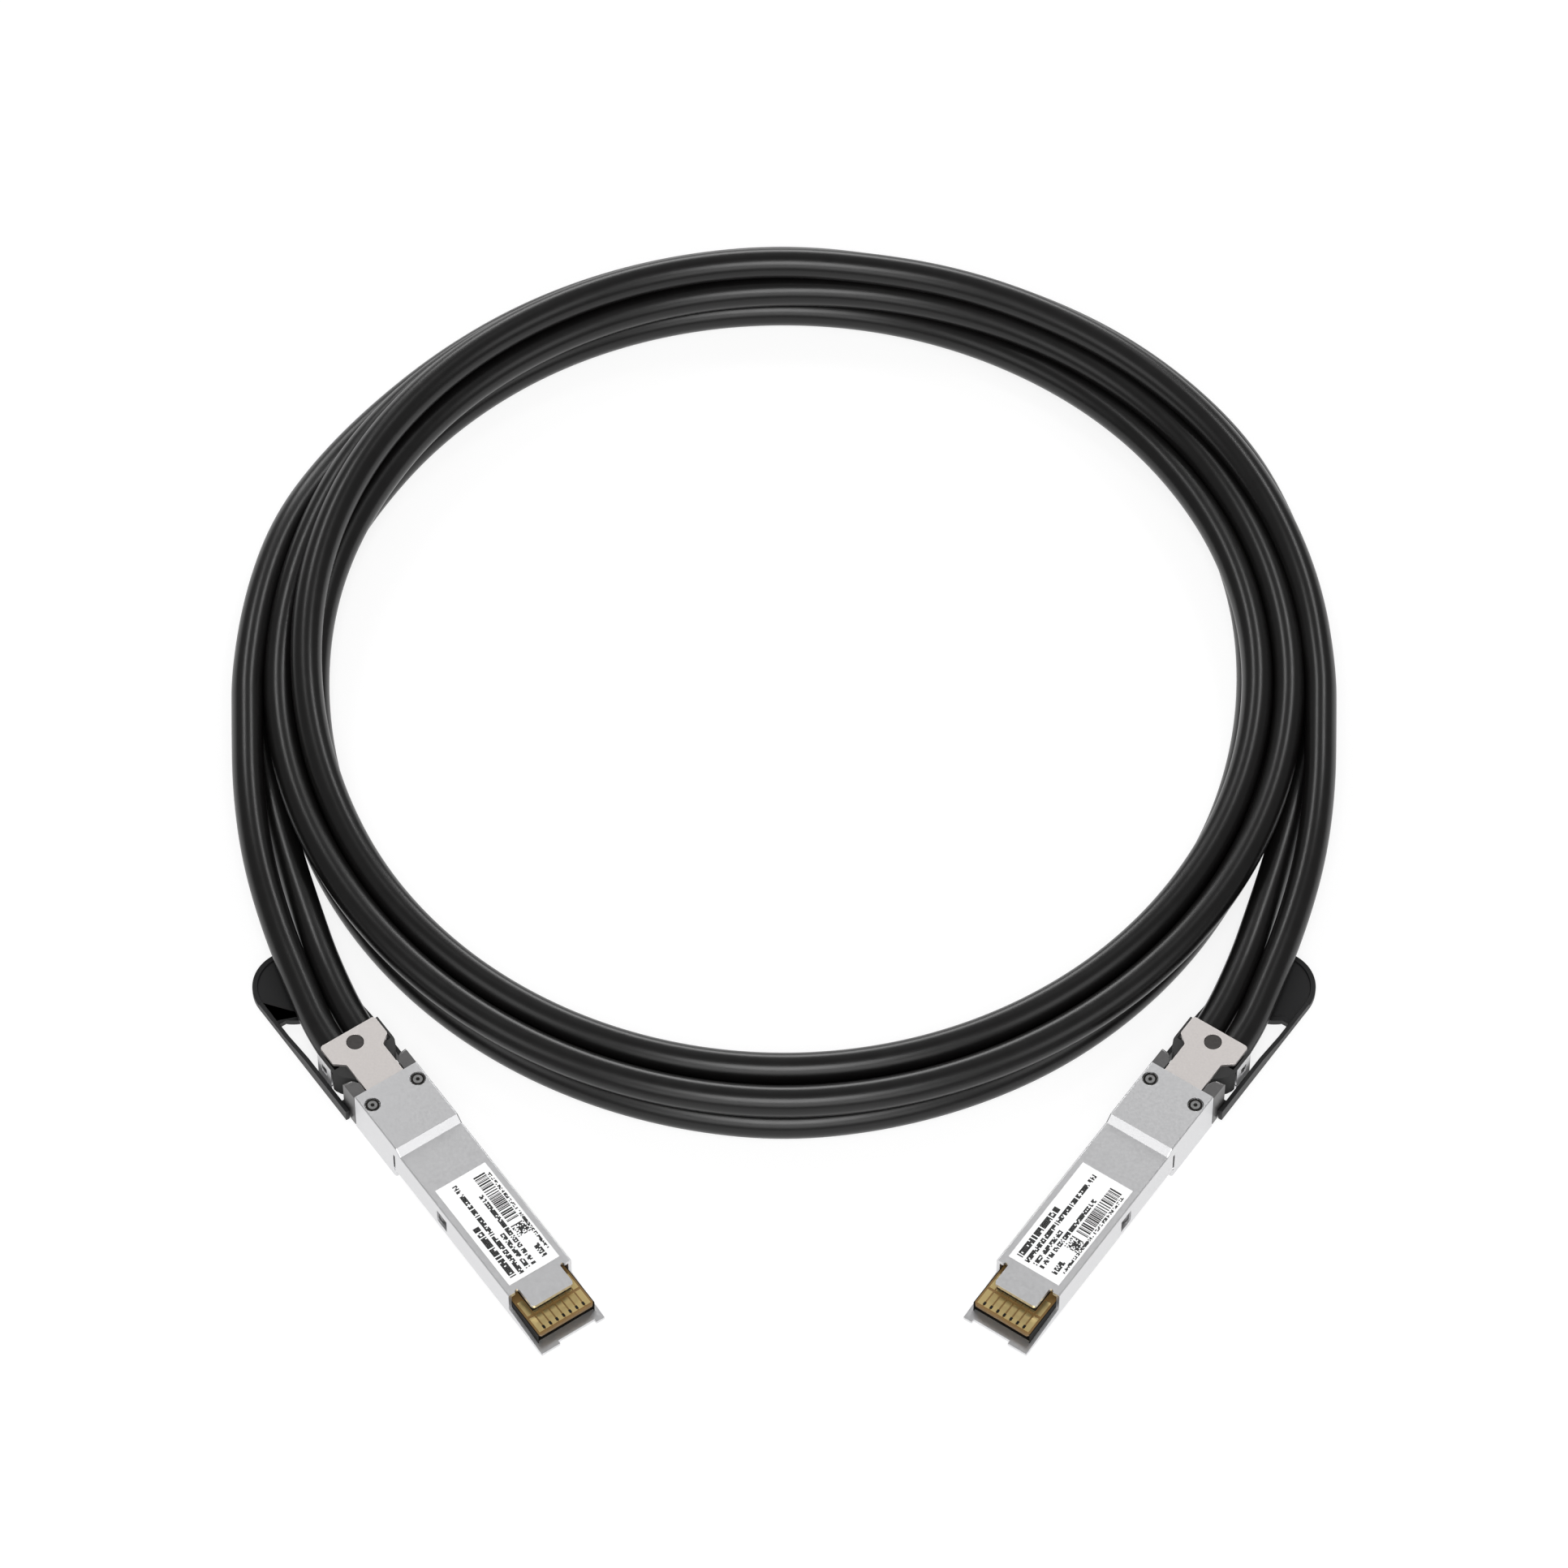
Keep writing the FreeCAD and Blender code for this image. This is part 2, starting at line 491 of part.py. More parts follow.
def release_slider(name):
    """Latch slider: two arms in the shell's channels, two cheeks and the bridge under the cradle."""
    body = new_body(name)
    cheek = [("-cheek_gap", "cheek_inner"), ("-cheek_gap", "cheek_outer"),
             ("-cheek_rear", "cheek_outer"), ("0 - cheek_rear + 0.2", "cheek_inner + 1.7"),
             ("0 - cheek_rear + 1.4", "cheek_inner + 0.7"),
             ("0 - cheek_rear + 2.5", "cheek_inner")]
    arm = [("-arm_root", "arm_low"), ("arm_tip_low", "arm_low"), ("arm_tip", "arm_tip_break"),
           ("arm_tip", "arm_high"), ("-arm_root", "arm_high")]
    for tag, sign in (("near", "0 - "), ("far", "")):
        plan = outline(body, f"{name}_cheek_{tag}_plan", "XY_Plane",
                       [(a, f"{sign}( {b} )") for a, b in cheek], offset="bridge_low")
        pad(body, f"{name}_cheek_{tag}", plan, "cheek_top - bridge_low")
        if tag == "near":
            block(body, name + "_bridge", ("-bridge_rear", "-cheek_outer", "bridge_low"),
                  ("-bridge_front", "cheek_outer", "bridge_low + bridge_height"))
    rear = size("cheek_rear")
    round_edges(body, name + "_cheek_crown", "cheek_round", lambda edge: (
        abs(edge.BoundBox.XMax + rear) < 1.3 and edge.BoundBox.ZLength < 1e-6
        and edge.BoundBox.ZMax > size("cheek_top") - 0.1 and edge.BoundBox.XLength < 1
        and edge.BoundBox.YLength > 1))
    for tag, offset in (("near", "arm_inner"), ("far", "0 - arm_inner - arm_thickness")):
        arm_side = outline(body, f"{name}_arm_{tag}_side", "XZ_Plane", arm, offset)
        pad(body, f"{name}_arm_{tag}", arm_side, "arm_thickness")
    return body


def pull_tab(name):
    """Soft pull tab: two upright straps that run back to a round pad with a raised rim."""
    body = new_body(name)
    pad_top = "tab_low + tab_pad_height"
    rim_top = f"{pad_top} + tab_rim_height"
    centre = ("-tab_pad_centre", "0")
    drum(body, name + "_pad_end", centre, "tab_leg_outer", "tab_low", rim_top)
    block(body, name + "_pad", ("-tab_pad_centre", "-tab_leg_outer", "tab_low"),
          ("-tab_window_end", "tab_leg_outer", rim_top))
    drum(body, name + "_dish_end", centre, "tab_leg_outer - tab_rim_width", pad_top,
         f"{rim_top} + 1", cut=True)
    block(body, name + "_dish", ("-tab_pad_centre", "0 - tab_leg_outer + tab_rim_width", pad_top),
          ("0 - tab_window_end - tab_rim_width", "tab_leg_outer - tab_rim_width", f"{rim_top} + 1"),
          cut=True)
    low_top = "tab_low + tab_leg_height"
    leg = [("-tab_pad_centre", "tab_low"), ("-tab_front", "tab_low"),
           ("-tab_front", f"{low_top} + tab_leg_rise"), ("-tab_rise_end", f"{low_top} + tab_leg_rise"),
           ("-tab_rise_start", low_top), ("-tab_pad_centre", low_top)]
    for tag, offset in (("near", "tab_leg_inner"), ("far", "-tab_leg_outer")):
        leg_side = outline(body, f"{name}_leg_{tag}_side", "XZ_Plane", leg, offset)
        pad(body, f"{name}_leg_{tag}", leg_side, "tab_leg_outer - tab_leg_inner")
    block_pair(body, name + "_peg",
               ("0 - tab_peg_start - tab_peg_length", "cheek_outer", "tab_low + 0.6"),
               ("-tab_peg_start", "tab_leg_inner + 0.1", "tab_low + 0.6 + tab_peg_height"))
    return body


def return_springs(name):
    """Two small coil springs between the cradle's foot and the slider's bridge."""
    springs = []
    start = "0 - cradle_reach + spring_foot"
    for tag, side in (("far", "spring_spread / 2"), ("near", "-spring_spread / 2")):
        path = doc.addObject("Part::Helix", f"{name}_{tag}_path")
        path.setExpression("Radius", expr("spring_radius"))
        path.setExpression("Pitch", expr("spring_pitch"))
        path.setExpression("Height", expr(
            "cradle_reach - spring_foot - bridge_rear - 2 * spring_wire"))
        wire = doc.addObject("Part::Circle", f"{name}_{tag}_wire")
        wire.setExpression("Radius", expr("spring_wire"))
        wire.setExpression("Placement.Base.x", expr("spring_radius"))
        wire.Placement.Rotation = FreeCAD.Rotation(FreeCAD.Vector(1, 0, 0), 90)
        coil = doc.addObject("Part::Sweep", f"{name}_{tag}")
        coil.Sections = [wire]
        coil.Spine = (path, ["Edge1"])
        coil.Solid = True
        coil.Frenet = True
        coil.Placement.Rotation = FreeCAD.Rotation(FreeCAD.Vector(0, 1, 0), 90)
        coil.setExpression("Placement.Base.x", expr(f"{start} + spring_wire"))
        coil.setExpression("Placement.Base.y", expr(side))
        coil.setExpression("Placement.Base.z", expr("bridge_low + bridge_height / 2"))
        springs.append(coil)
    return joined("Part::Compound", name, springs)


def build_plug(side, hand):
    """All pieces of one plug in the plug's own frame."""
    return [
        top_cover(f"{side}_top_cover"),
        bottom_housing(f"{side}_bottom_housing", hand),
        upper_clamp(f"{side}_cable_clamp"),
        clamp_rivet(f"{side}_clamp_rivet"),
        cable_boot(f"{side}_cable_boot"),
        cover_screws(f"{side}_cover_screws"),
        paddle_board(f"{side}_paddle_board"),
        contact_pads(f"{side}_contact_pads"),
        termination_mould(f"{side}_termination_mould"),
        wire_harness(f"{side}_wire_harness"),
        label(f"{side}_label"),
        release_slider(f"{side}_release_slider"),
        pull_tab(f"{side}_pull_tab"),
        return_springs(f"{side}_return_springs"),
    ]


def plug_placement(hand, shift):
    """Where a plug lies: hand is -1 for the left one and +1 for the right one."""
    yaw = -size("plug_yaw") if hand < 0 else size("plug_yaw") - 180
    place = FreeCAD.Vector(hand * size("plug_x"), shift - size("plug_y"), 0)
    return FreeCAD.Placement(place, FreeCAD.Rotation(FreeCAD.Vector(0, 0, 1), yaw))


# ---------------------------------------------------------------- cable
def cable_coil(name):
    """Outer shape of the coiled turns: a two by two stack, the third pass outside it, and the
    cable that crosses over the others at the far side."""
    body = new_body(name)
    wide = "cable_diameter"
    ring = outline(body, name + "_stack", "YZ_Plane", rounded_stack(
        f"coil_radius - {wide} / 2", f"coil_radius + 1.5 * {wide}"))
    turn = body.newObject("PartDesign::Revolution", name + "_ring")
    turn.Profile = ring
    turn.ReferenceAxis = (ring, ["V_Axis"])
    turn.Angle = 360
    band = outline(body, name + "_third_pass", "YZ_Plane", rounded_stack(
        f"coil_radius + {wide}", f"coil_radius + ( outer_pair_offset + 0.5 ) * {wide}"))
    sweep = body.newObject("PartDesign::Revolution", name + "_band")
    sweep.Profile = band
    sweep.ReferenceAxis = (band, ["V_Axis"])
    sweep.Midplane = True
    sweep.setExpression("Angle", expr("outer_pair_angle"))
    crossing = body.newObject("PartDesign::AdditiveTorus", name + "_crossing")
    crossing.setExpression("Radius1", expr(f"coil_radius + {wide} / 2"))
    crossing.setExpression("Radius2", expr(f"{wide} / 2"))
    crossing.Angle1, crossing.Angle2, crossing.Angle3 = -180, 180, 360
    crossing.setExpression("Placement.Base.z", expr("( crossing_height + crossing_low ) / 2"))
    rise = (size("crossing_height") - size("crossing_low")) / 2
    tilt = math.degrees(math.asin(rise / (size("coil_radius") + size("cable_diameter") / 2)))
    crossing.Placement.Rotation = FreeCAD.Rotation(FreeCAD.Vector(1, 0, 0), tilt)
    return body


def rounded_stack(low, high):
    """Section of two layers of cable between two radii, with its corners cut at 45 degrees."""
    cut, top = "0.15 * cable_diameter", "2 * cable_diameter"
    return [(f"{low} + {cut}", "0"), (f"{high} - {cut}", "0"), (high, cut),
            (high, f"{top} - {cut}"), (f"{high} - {cut}", top), (f"{low} + {cut}", top),
            (low, f"{top} - {cut}"), (low, cut)]


def tangent_path(points):
    """Straight runs joined by arcs as large as the runs allow; also the radii and the length."""
    edges, radii, start, length = [], [], points[0], 0.0
    for before, corner, after in zip(points, points[1:], points[2:]):
        back, ahead = before - corner, after - corner
        turn = math.pi - back.getAngle(ahead)
        reach = 0.45 * min(back.Length, ahead.Length)
        radius = reach / math.tan(turn / 2)
        first = corner + back.normalize() * reach
        last = corner + ahead.normalize() * reach
        bisector = (back + ahead).normalize()
        middle = corner + bisector * (radius / math.cos(turn / 2) - radius)
        edges += [Part.LineSegment(start, first).toShape(), Part.Arc(first, middle, last).toShape()]
        radii.append(radius)
        start = last
    edges.append(Part.LineSegment(start, points[-1]).toShape())
    wire = Part.Wire(edges)
    return wire, radii, wire.Length


def cable_lead(name, points):
    """Round cable along its path, as one closed solid."""
    path, radii, length = tangent_path(points)
    radius = size("cable_diameter") / 2
    heading = points[1] - points[0]
    rim = Part.Wire(Part.makeCircle(radius, points[0], heading))
    solid = path.makePipeShell([rim], True, False)
    expected = math.pi * radius ** 2 * length
    print(f"{name}: length {length:.1f}, radii {[round(value, 1) for value in radii]}, "
          f"volume over section x length {solid.Volume / expected:.4f}")
    item = doc.addObject("Part::Feature", name)
    item.Shape = solid
    return item


def lead_route(which, hand):
    """Points of one free stretch, about the coil's centre, from the clamp to the coil's end face."""
    across = (size("cable_diameter") + size("cable_gap")) / 2 * (1 if which == "outer" else -1)
    exit_height = size("cable_exit_height")
    plug = plug_placement(-1, 0)
    exits = [plug.multVec(FreeCAD.Vector(-size("boot_rear") - run, -across, exit_height))
             for run in (0, FIRST_RUN[which])]
    angle = math.radians(90 + size("outer_pair_angle") / 2)
    radial = FreeCAD.Vector(math.cos(angle), math.sin(angle), 0)
    onward = FreeCAD.Vector(math.sin(angle), -math.cos(angle), 0)
    radius = size("coil_radius") + size("outer_pair_offset") * size("cable_diameter")
    height = size("cable_diameter") * 0.5
    if which == "outer":
        height += size("cable_diameter") + size("cable_gap")
    last = radial * radius + FreeCAD.Vector(0, 0, height)
    middle = [FreeCAD.Vector(*point) for point in LEAD_POINTS[which]]
    route = exits + middle + [last - onward * LAST_RUN, last]
    return [FreeCAD.Vector(point.x * -hand, point.y, point.z) for point in route]


# ---------------------------------------------------------------- assembly
def plan_shift(pieces):
    """Y shift that puts the middle of the plugs' box at Y = 0."""
    low = min(piece.Shape.BoundBox.YMin for piece in pieces)
    high = max(piece.Shape.BoundBox.YMax for piece in pieces)
    return -(low + high) / 2


def check_and_write(pieces):
    """Stop on any failed feature or bad shape, then write one STEP file for each piece."""
    failed = [item.Name for item in doc.Objects
              if "Invalid" in item.State or "Error" in item.State]
    bad = [piece.Label for piece in pieces
           if piece.Shape.isNull() or not piece.Shape.isValid() or not piece.Shape.Solids]
    if failed or bad:
        raise RuntimeError(f"failed features {failed}, bad shapes {bad}")
    os.makedirs("parts", exist_ok=True)
    for piece in pieces:
        piece.Shape.exportStep(f"parts/{piece.Label}.step")


def main():
    plugs = {hand: build_plug(side, hand) for side, hand in (("left", -1), ("right", 1))}
    doc.recompute()
    for hand, pieces in plugs.items():
        for piece in pieces:
            piece.Placement = plug_placement(hand, 0)
    doc.recompute()
    hardware = plugs[-1] + plugs[1]
    shift = plan_shift(hardware)
    for hand, pieces in plugs.items():
        for piece in pieces:
            piece.Placement = plug_placement(hand, shift)
    cable = [cable_coil("cable_coil")]
    for side, hand in (("left", -1), ("right", 1)):
        for which in ("outer", "inner"):
            cable.append(cable_lead(f"{side}_{which}_cable", lead_route(which, hand)))
    doc.recompute()
    for item in cable:
        item.Placement = FreeCAD.Placement(FreeCAD.Vector(0, shift, 0), FreeCAD.Rotation())
    doc.recompute()
    print(f"coil centre at y = {shift:.4f}")
    check_and_write(hardware + cable)


main()
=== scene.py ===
"""Looks of a direct attach copper cable: a coiled pair of black cables between two metal plugs.

Every length is in metres. A plug's own frame has A towards its nose, L across and Z up, with the
origin on the floor under the rear face of its head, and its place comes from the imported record.
"""
import json
import logging
import math
from dataclasses import dataclass, field
from enum import Enum

import bmesh
import bpy
import numpy as np
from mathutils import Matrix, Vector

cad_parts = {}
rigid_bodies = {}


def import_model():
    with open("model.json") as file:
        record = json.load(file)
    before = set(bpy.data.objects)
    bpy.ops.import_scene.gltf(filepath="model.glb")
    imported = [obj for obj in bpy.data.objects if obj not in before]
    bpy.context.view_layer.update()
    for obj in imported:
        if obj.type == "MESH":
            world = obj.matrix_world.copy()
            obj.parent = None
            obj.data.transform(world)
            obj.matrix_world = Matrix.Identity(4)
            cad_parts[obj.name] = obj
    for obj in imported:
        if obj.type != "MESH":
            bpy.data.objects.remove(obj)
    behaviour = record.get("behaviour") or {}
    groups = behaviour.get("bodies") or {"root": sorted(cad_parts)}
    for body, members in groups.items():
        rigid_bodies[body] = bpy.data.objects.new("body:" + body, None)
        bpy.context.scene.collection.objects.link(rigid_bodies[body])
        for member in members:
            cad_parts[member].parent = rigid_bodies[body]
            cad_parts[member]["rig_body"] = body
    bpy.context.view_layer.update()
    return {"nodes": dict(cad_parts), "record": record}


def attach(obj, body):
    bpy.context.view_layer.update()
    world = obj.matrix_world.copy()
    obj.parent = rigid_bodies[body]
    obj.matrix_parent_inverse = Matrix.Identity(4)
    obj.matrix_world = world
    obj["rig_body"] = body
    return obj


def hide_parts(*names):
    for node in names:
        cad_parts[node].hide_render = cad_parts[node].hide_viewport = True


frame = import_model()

LOG = logging.getLogger("direct_attach_cable")
MM = 0.001
HARDWARE_BODY = "cable_assembly"

PLUG_REACH = 0.0823        # head's rear face to the nose
REAR_FROM_COIL = 0.12373   # coil's centre to the head's rear face, along Y
MERGE_REACH = 0.002 * MM   # points this close are one
FLAT_WITHIN = 0.6          # degrees between faces that are joined into one
BEVEL_FROM = 18            # degrees from which an edge is softened
EDGE_STEPS = 2             # faces across each softened edge
FACE_WEIGHT = 100          # how far large faces rule the shading of their corners
RELIEF_DEPTH = 0.02 * MM   # height of the grain
GRAIN_DETAIL = 2.0         # finer octaves over the first
CABLE_ENDS = ("outer_cable", "inner_cable")


class Side(Enum):
    """The two plugs."""

    LEFT = "left"
    RIGHT = "right"


# ------------------------------------------------------------------------------- finishes
def grain_group() -> bpy.types.ShaderNodeTree:
    """Node group that varies a colour and a roughness with fine noise.

    Noise at the given scale, with two finer octaves over it, is centred on zero. The colour is
    the base times one plus the noise times Tone, the roughness is Rough plus the noise times
    Spread, and the height is the noise itself.

    Returns:
        The group, built once and shared by all finishes.
    """
    name = "fine_grain"
    if name in bpy.data.node_groups:
        return bpy.data.node_groups[name]
    group = bpy.data.node_groups.new(name, "ShaderNodeTree")
    sockets = group.interface
    sockets.new_socket("Vector", in_out="INPUT", socket_type="NodeSocketVector")
    sockets.new_socket("Base", in_out="INPUT", socket_type="NodeSocketColor")
    for label in ("Scale", "Tone", "Rough", "Spread"):
        sockets.new_socket(label, in_out="INPUT", socket_type="NodeSocketFloat")
    sockets.new_socket("Color", in_out="OUTPUT", socket_type="NodeSocketColor")
    sockets.new_socket("Roughness", in_out="OUTPUT", socket_type="NodeSocketFloat")
    sockets.new_socket("Height", in_out="OUTPUT", socket_type="NodeSocketFloat")
    nodes, links = group.nodes, group.links
    given, out = nodes.new("NodeGroupInput"), nodes.new("NodeGroupOutput")
    noise = nodes.new("ShaderNodeTexNoise")
    noise.inputs["Detail"].default_value = GRAIN_DETAIL
    links.new(given.outputs["Vector"], noise.inputs["Vector"])
    links.new(given.outputs["Scale"], noise.inputs["Scale"])
    centred = math_node(nodes, "SUBTRACT", 0.5)
    links.new(noise.outputs["Fac"], centred.inputs[0])

    gain = math_node(nodes, "MULTIPLY_ADD", 0.0, 1.0)
    links.new(centred.outputs[0], gain.inputs[0])
    links.new(given.outputs["Tone"], gain.inputs[1])
    tinted = nodes.new("ShaderNodeVectorMath")
    tinted.operation = "SCALE"
    links.new(given.outputs["Base"], tinted.inputs[0])
    links.new(gain.outputs[0], tinted.inputs["Scale"])
    links.new(tinted.outputs[0], out.inputs["Color"])

    rough = math_node(nodes, "MULTIPLY_ADD", 0.0, 0.0)
    links.new(centred.outputs[0], rough.inputs[0])
    links.new(given.outputs["Spread"], rough.inputs[1])
    links.new(given.outputs["Rough"], rough.inputs[2])
    links.new(rough.outputs[0], out.inputs["Roughness"])
    links.new(centred.outputs[0], out.inputs["Height"])
    return group


def math_node(nodes: bpy.types.Nodes, operation: str, *values: float) -> bpy.types.ShaderNodeMath:
    """A Math node whose inputs after the first are set.

    Args:
        nodes: the tree's nodes.
        operation: the Math node's operation.
        values: what its second and later inputs hold.

    Returns:
        The new node.
    """
    node = nodes.new("ShaderNodeMath")
    node.operation = operation
    for socket, value in zip(node.inputs[1:], values):
        socket.default_value = value
    return node


@dataclass(frozen=True)
class Finish:
    """One finish: a Principled surface with fine grain in its tone, its gloss and its relief."""

    name: str
    color: tuple[float, float, float]
    roughness: float
    metallic: float = 0.0
    specular: float = 0.5
    coat: float = 0.0
    grain_scale: float = 900.0
    tone: float = 0.0
    spread: float = 0.0
    bump: float = 0.0

    def material(self) -> bpy.types.Material:
        """The Blender material of this finish.

        Returns:
            The material, made at its first use.
        """
        found = bpy.data.materials.get(self.name)
        if found:
            return found
        made = bpy.data.materials.new(self.name)
        made.use_nodes = True
        nodes, links = made.node_tree.nodes, made.node_tree.links
        shader = nodes["Principled BSDF"]
        shader.inputs["Metallic"].default_value = self.metallic
        shader.inputs["Specular IOR Level"].default_value = self.specular
        shader.inputs["Coat Weight"].default_value = self.coat
        place = nodes.new("ShaderNodeTexCoord")
        grain = nodes.new("ShaderNodeGroup")
        grain.node_tree = grain_group()
        grain.inputs["Base"].default_value = (*self.color, 1.0)
        for socket, value in (("Scale", self.grain_scale), ("Tone", self.tone),
                              ("Rough", self.roughness), ("Spread", self.spread)):
            grain.inputs[socket].default_value = value
        links.new(place.outputs["Object"], grain.inputs["Vector"])
        links.new(grain.outputs["Color"], shader.inputs["Base Color"])
        links.new(grain.outputs["Roughness"], shader.inputs["Roughness"])
        if self.bump:
            relief = nodes.new("ShaderNodeBump")
            relief.inputs["Strength"].default_value = self.bump
            relief.inputs["Distance"].default_value = RELIEF_DEPTH
            links.new(grain.outputs["Height"], relief.inputs["Height"])
            links.new(relief.outputs["Normal"], shader.inputs["Normal"])
        return made


FINISHES: dict[str, Finish] = {
    "cast_shell": Finish("satin_nickel_casting", (0.75, 0.75, 0.76), 0.36, metallic=0.92,
                         grain_scale=1500.0, tone=0.06, spread=0.1, bump=0.14),
    "clamp_plate": Finish("satin_plated_sheet", (0.74, 0.70, 0.68), 0.42, metallic=0.9,
                          grain_scale=1800.0, tone=0.12, spread=0.12, bump=0.14),
    "dark_rivet": Finish("blackened_rivet", (0.05, 0.045, 0.043), 0.5, metallic=0.4,
                         grain_scale=1500.0, tone=0.6, spread=0.2),
    "screw_steel": Finish("plated_screw", (0.42, 0.42, 0.42), 0.3, metallic=1.0,
                          grain_scale=2500.0, tone=0.2, spread=0.15),
    "board_laminate": Finish("board_gold_mask", (0.23, 0.135, 0.045), 0.42, metallic=0.2,
                             grain_scale=600.0, tone=0.2, spread=0.1),
    "contact_gold": Finish("contact_gold", (0.74, 0.54, 0.26), 0.34, metallic=0.35,
                           grain_scale=700.0, tone=0.12, spread=0.1),
    "black_resin": Finish("black_resin", (0.02, 0.02, 0.02), 0.5, tone=0.3, spread=0.1),
    "black_sleeve": Finish("black_sleeve", (0.015, 0.014, 0.014), 0.55, tone=0.3, spread=0.1),
    "black_boot": Finish("black_boot", (0.006, 0.0055, 0.0055), 0.4, specular=0.3,
                         grain_scale=1800.0, tone=0.3, spread=0.12, bump=0.1),
    "label_film": Finish("white_label", (0.95, 0.95, 0.95), 0.55, specular=0.3,
                         grain_scale=1200.0, tone=0.03, spread=0.06),
    "dark_slider": Finish("dark_grey_slider", (0.17, 0.167, 0.167), 0.36, metallic=0.85,
                          grain_scale=1400.0, tone=0.15, spread=0.12, bump=0.08),
    "black_tab": Finish("black_elastomer", (0.0085, 0.0085, 0.009), 0.45, specular=0.35,
                        grain_scale=2500.0, tone=0.3, spread=0.12, bump=0.12),
    "spring_wire": Finish("spring_wire", (0.6, 0.6, 0.6), 0.3, metallic=1.0, tone=0.1,
                          spread=0.1),
    "cable_jacket": Finish("black_jacket", (0.0045, 0.0042, 0.0042), 0.3, specular=0.43,
                           grain_scale=260.0, tone=0.5, spread=0.06, bump=0.05),
}
PRINT_INK = Finish("label_ink", (0.03, 0.03, 0.03), 0.6, specular=0.2, tone=0.5, spread=0.1)
# painted shade: a near-black finish laid where gaps, slots, recesses and the space under the tongue
# fall into shade
SHADED_GAP = Finish("shaded_gap", (0.006, 0.005, 0.004), 0.7, specular=0.2, tone=0.4, spread=0.1)
STUDIO_FLOOR = Finish("studio_floor", (0.8, 0.8, 0.8), 1.0)


# ------------------------------------------------------------------------------- meshes
def mesh_piece(name: str, verts: np.ndarray, faces: np.ndarray, finish: Finish
               ) -> bpy.types.Object:
    """New mesh object at the origin.

    Args:
        name: the piece's name.
        verts: points, one row each, in the row frame.
        faces: vertex numbers, one row for each face.
        finish: what it is made of.

    Returns:
        The object, linked to the scene.
    """
    mesh = bpy.data.meshes.new(name)
    mesh.from_pydata(verts.tolist(), [], faces.tolist())
    mesh.materials.append(finish.material())
    made = bpy.data.objects.new(name, mesh)
    bpy.context.scene.collection.objects.link(made)
    return made


def closed_boxes(low: np.ndarray, high: np.ndarray) -> tuple[np.ndarray, np.ndarray]:
    """Closed boxes between rows of low and high corners.

    Corner k of a box takes the high value along an axis where that axis's bit of k is set, and
    the six faces are the same six rings of corners, shifted by eight for each box.

    Args:
        low: the low corners, n by 3.
        high: the high corners, n by 3.

    Returns:
        The points, 8 n by 3, and the faces, 6 n by 4, which point outwards.
    """
    bits = (np.arange(8)[:, None] >> np.arange(3)) & 1
    verts = np.where(bits[None], high[:, None], low[:, None]).reshape(-1, 3)
    ring = np.array([[0, 2, 3, 1], [4, 5, 7, 6], [0, 1, 5, 4], [2, 6, 7, 3], [0, 4, 6, 2],
                     [1, 3, 7, 5]])
    faces = (ring[None] + 8 * np.arange(len(low))[:, None, None]).reshape(-1, 4)
    return verts, faces


def closed_prisms(centres: np.ndarray, radius: float, low: float, high: float, sides: int
                  ) -> tuple[np.ndarray, np.ndarray]:
    """Upright regular prisms, all of one size.

    Corner k of a ring lies at the centre plus the radius times the cosine and sine of k turns
    over the number of sides. Each end is a fan about its middle point.

    Args:
        centres: the axes' places, n by 2.
        radius: from the axis to each corner.
        low: height of the foot.
        high: height of the top.
        sides: corners in each ring.

    Returns:
        The points and the triangles, which point outwards.
    """
    turn = 2 * np.pi * np.arange(sides) / sides
    ring = np.column_stack([radius * np.cos(turn), radius * np.sin(turn)])
    flat = np.vstack([ring, [[0.0, 0.0]]])
    one = np.vstack([np.column_stack([flat, np.full(sides + 1, z)]) for z in (low, high)])
    axes = np.column_stack([centres, np.zeros(len(centres))])
    verts = (one[None] + axes[:, None]).reshape(-1, 3)
    here = np.arange(sides)
    ahead, above = (here + 1) % sides, sides + 1
    faces = np.vstack([
        np.column_stack([here, ahead, ahead + above]),
        np.column_stack([here, ahead + above, here + above]),
        np.column_stack([ahead, here, np.full(sides, sides)]),
        np.column_stack([here + above, ahead + above, np.full(sides, sides + above)])])
    shift = (2 * above * np.arange(len(centres)))[:, None, None]
    return verts, (faces[None] + shift).reshape(-1, 3)


def dressed_copy(node: str, finish: Finish, edge: float) -> bpy.types.Object:
    """Copy of a CAD node with its doubles merged, flat faces joined and sharp edges softened.

    Args:
        node: the CAD node that the copy stands for.
        finish: what it is made of.
        edge: width of the softened edges.

    Returns:
        The copy, riding on the node's own body and replacing the node.
    """
    source = frame["nodes"][node]
    mesh = bpy.data.meshes.new(node + "_dressed")
    work = bmesh.new()
    work.from_mesh(source.data)
    bmesh.ops.remove_doubles(work, verts=work.verts, dist=MERGE_REACH)
    bmesh.ops.dissolve_limit(work, angle_limit=math.radians(FLAT_WITHIN), verts=work.verts,
                             edges=work.edges)
    for face in work.faces:
        face.smooth = True
        face.material_index = 0
    work.to_mesh(mesh)
    work.free()
    mesh.materials.clear()
    mesh.materials.append(finish.material())
    made = bpy.data.objects.new(node + "_dressed", mesh)
    bpy.context.scene.collection.objects.link(made)
    bevel = made.modifiers.new("soft_edges", "BEVEL")
    bevel.width = edge
    bevel.segments = EDGE_STEPS
    bevel.limit_method = "ANGLE"
    bevel.angle_limit = math.radians(BEVEL_FROM)
    flat = made.modifiers.new("flat_faces", "WEIGHTED_NORMAL")
    flat.mode = "FACE_AREA"
    flat.weight = FACE_WEIGHT
    flat.keep_sharp = True
    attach(made, source["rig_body"])
    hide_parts(node)
    return made


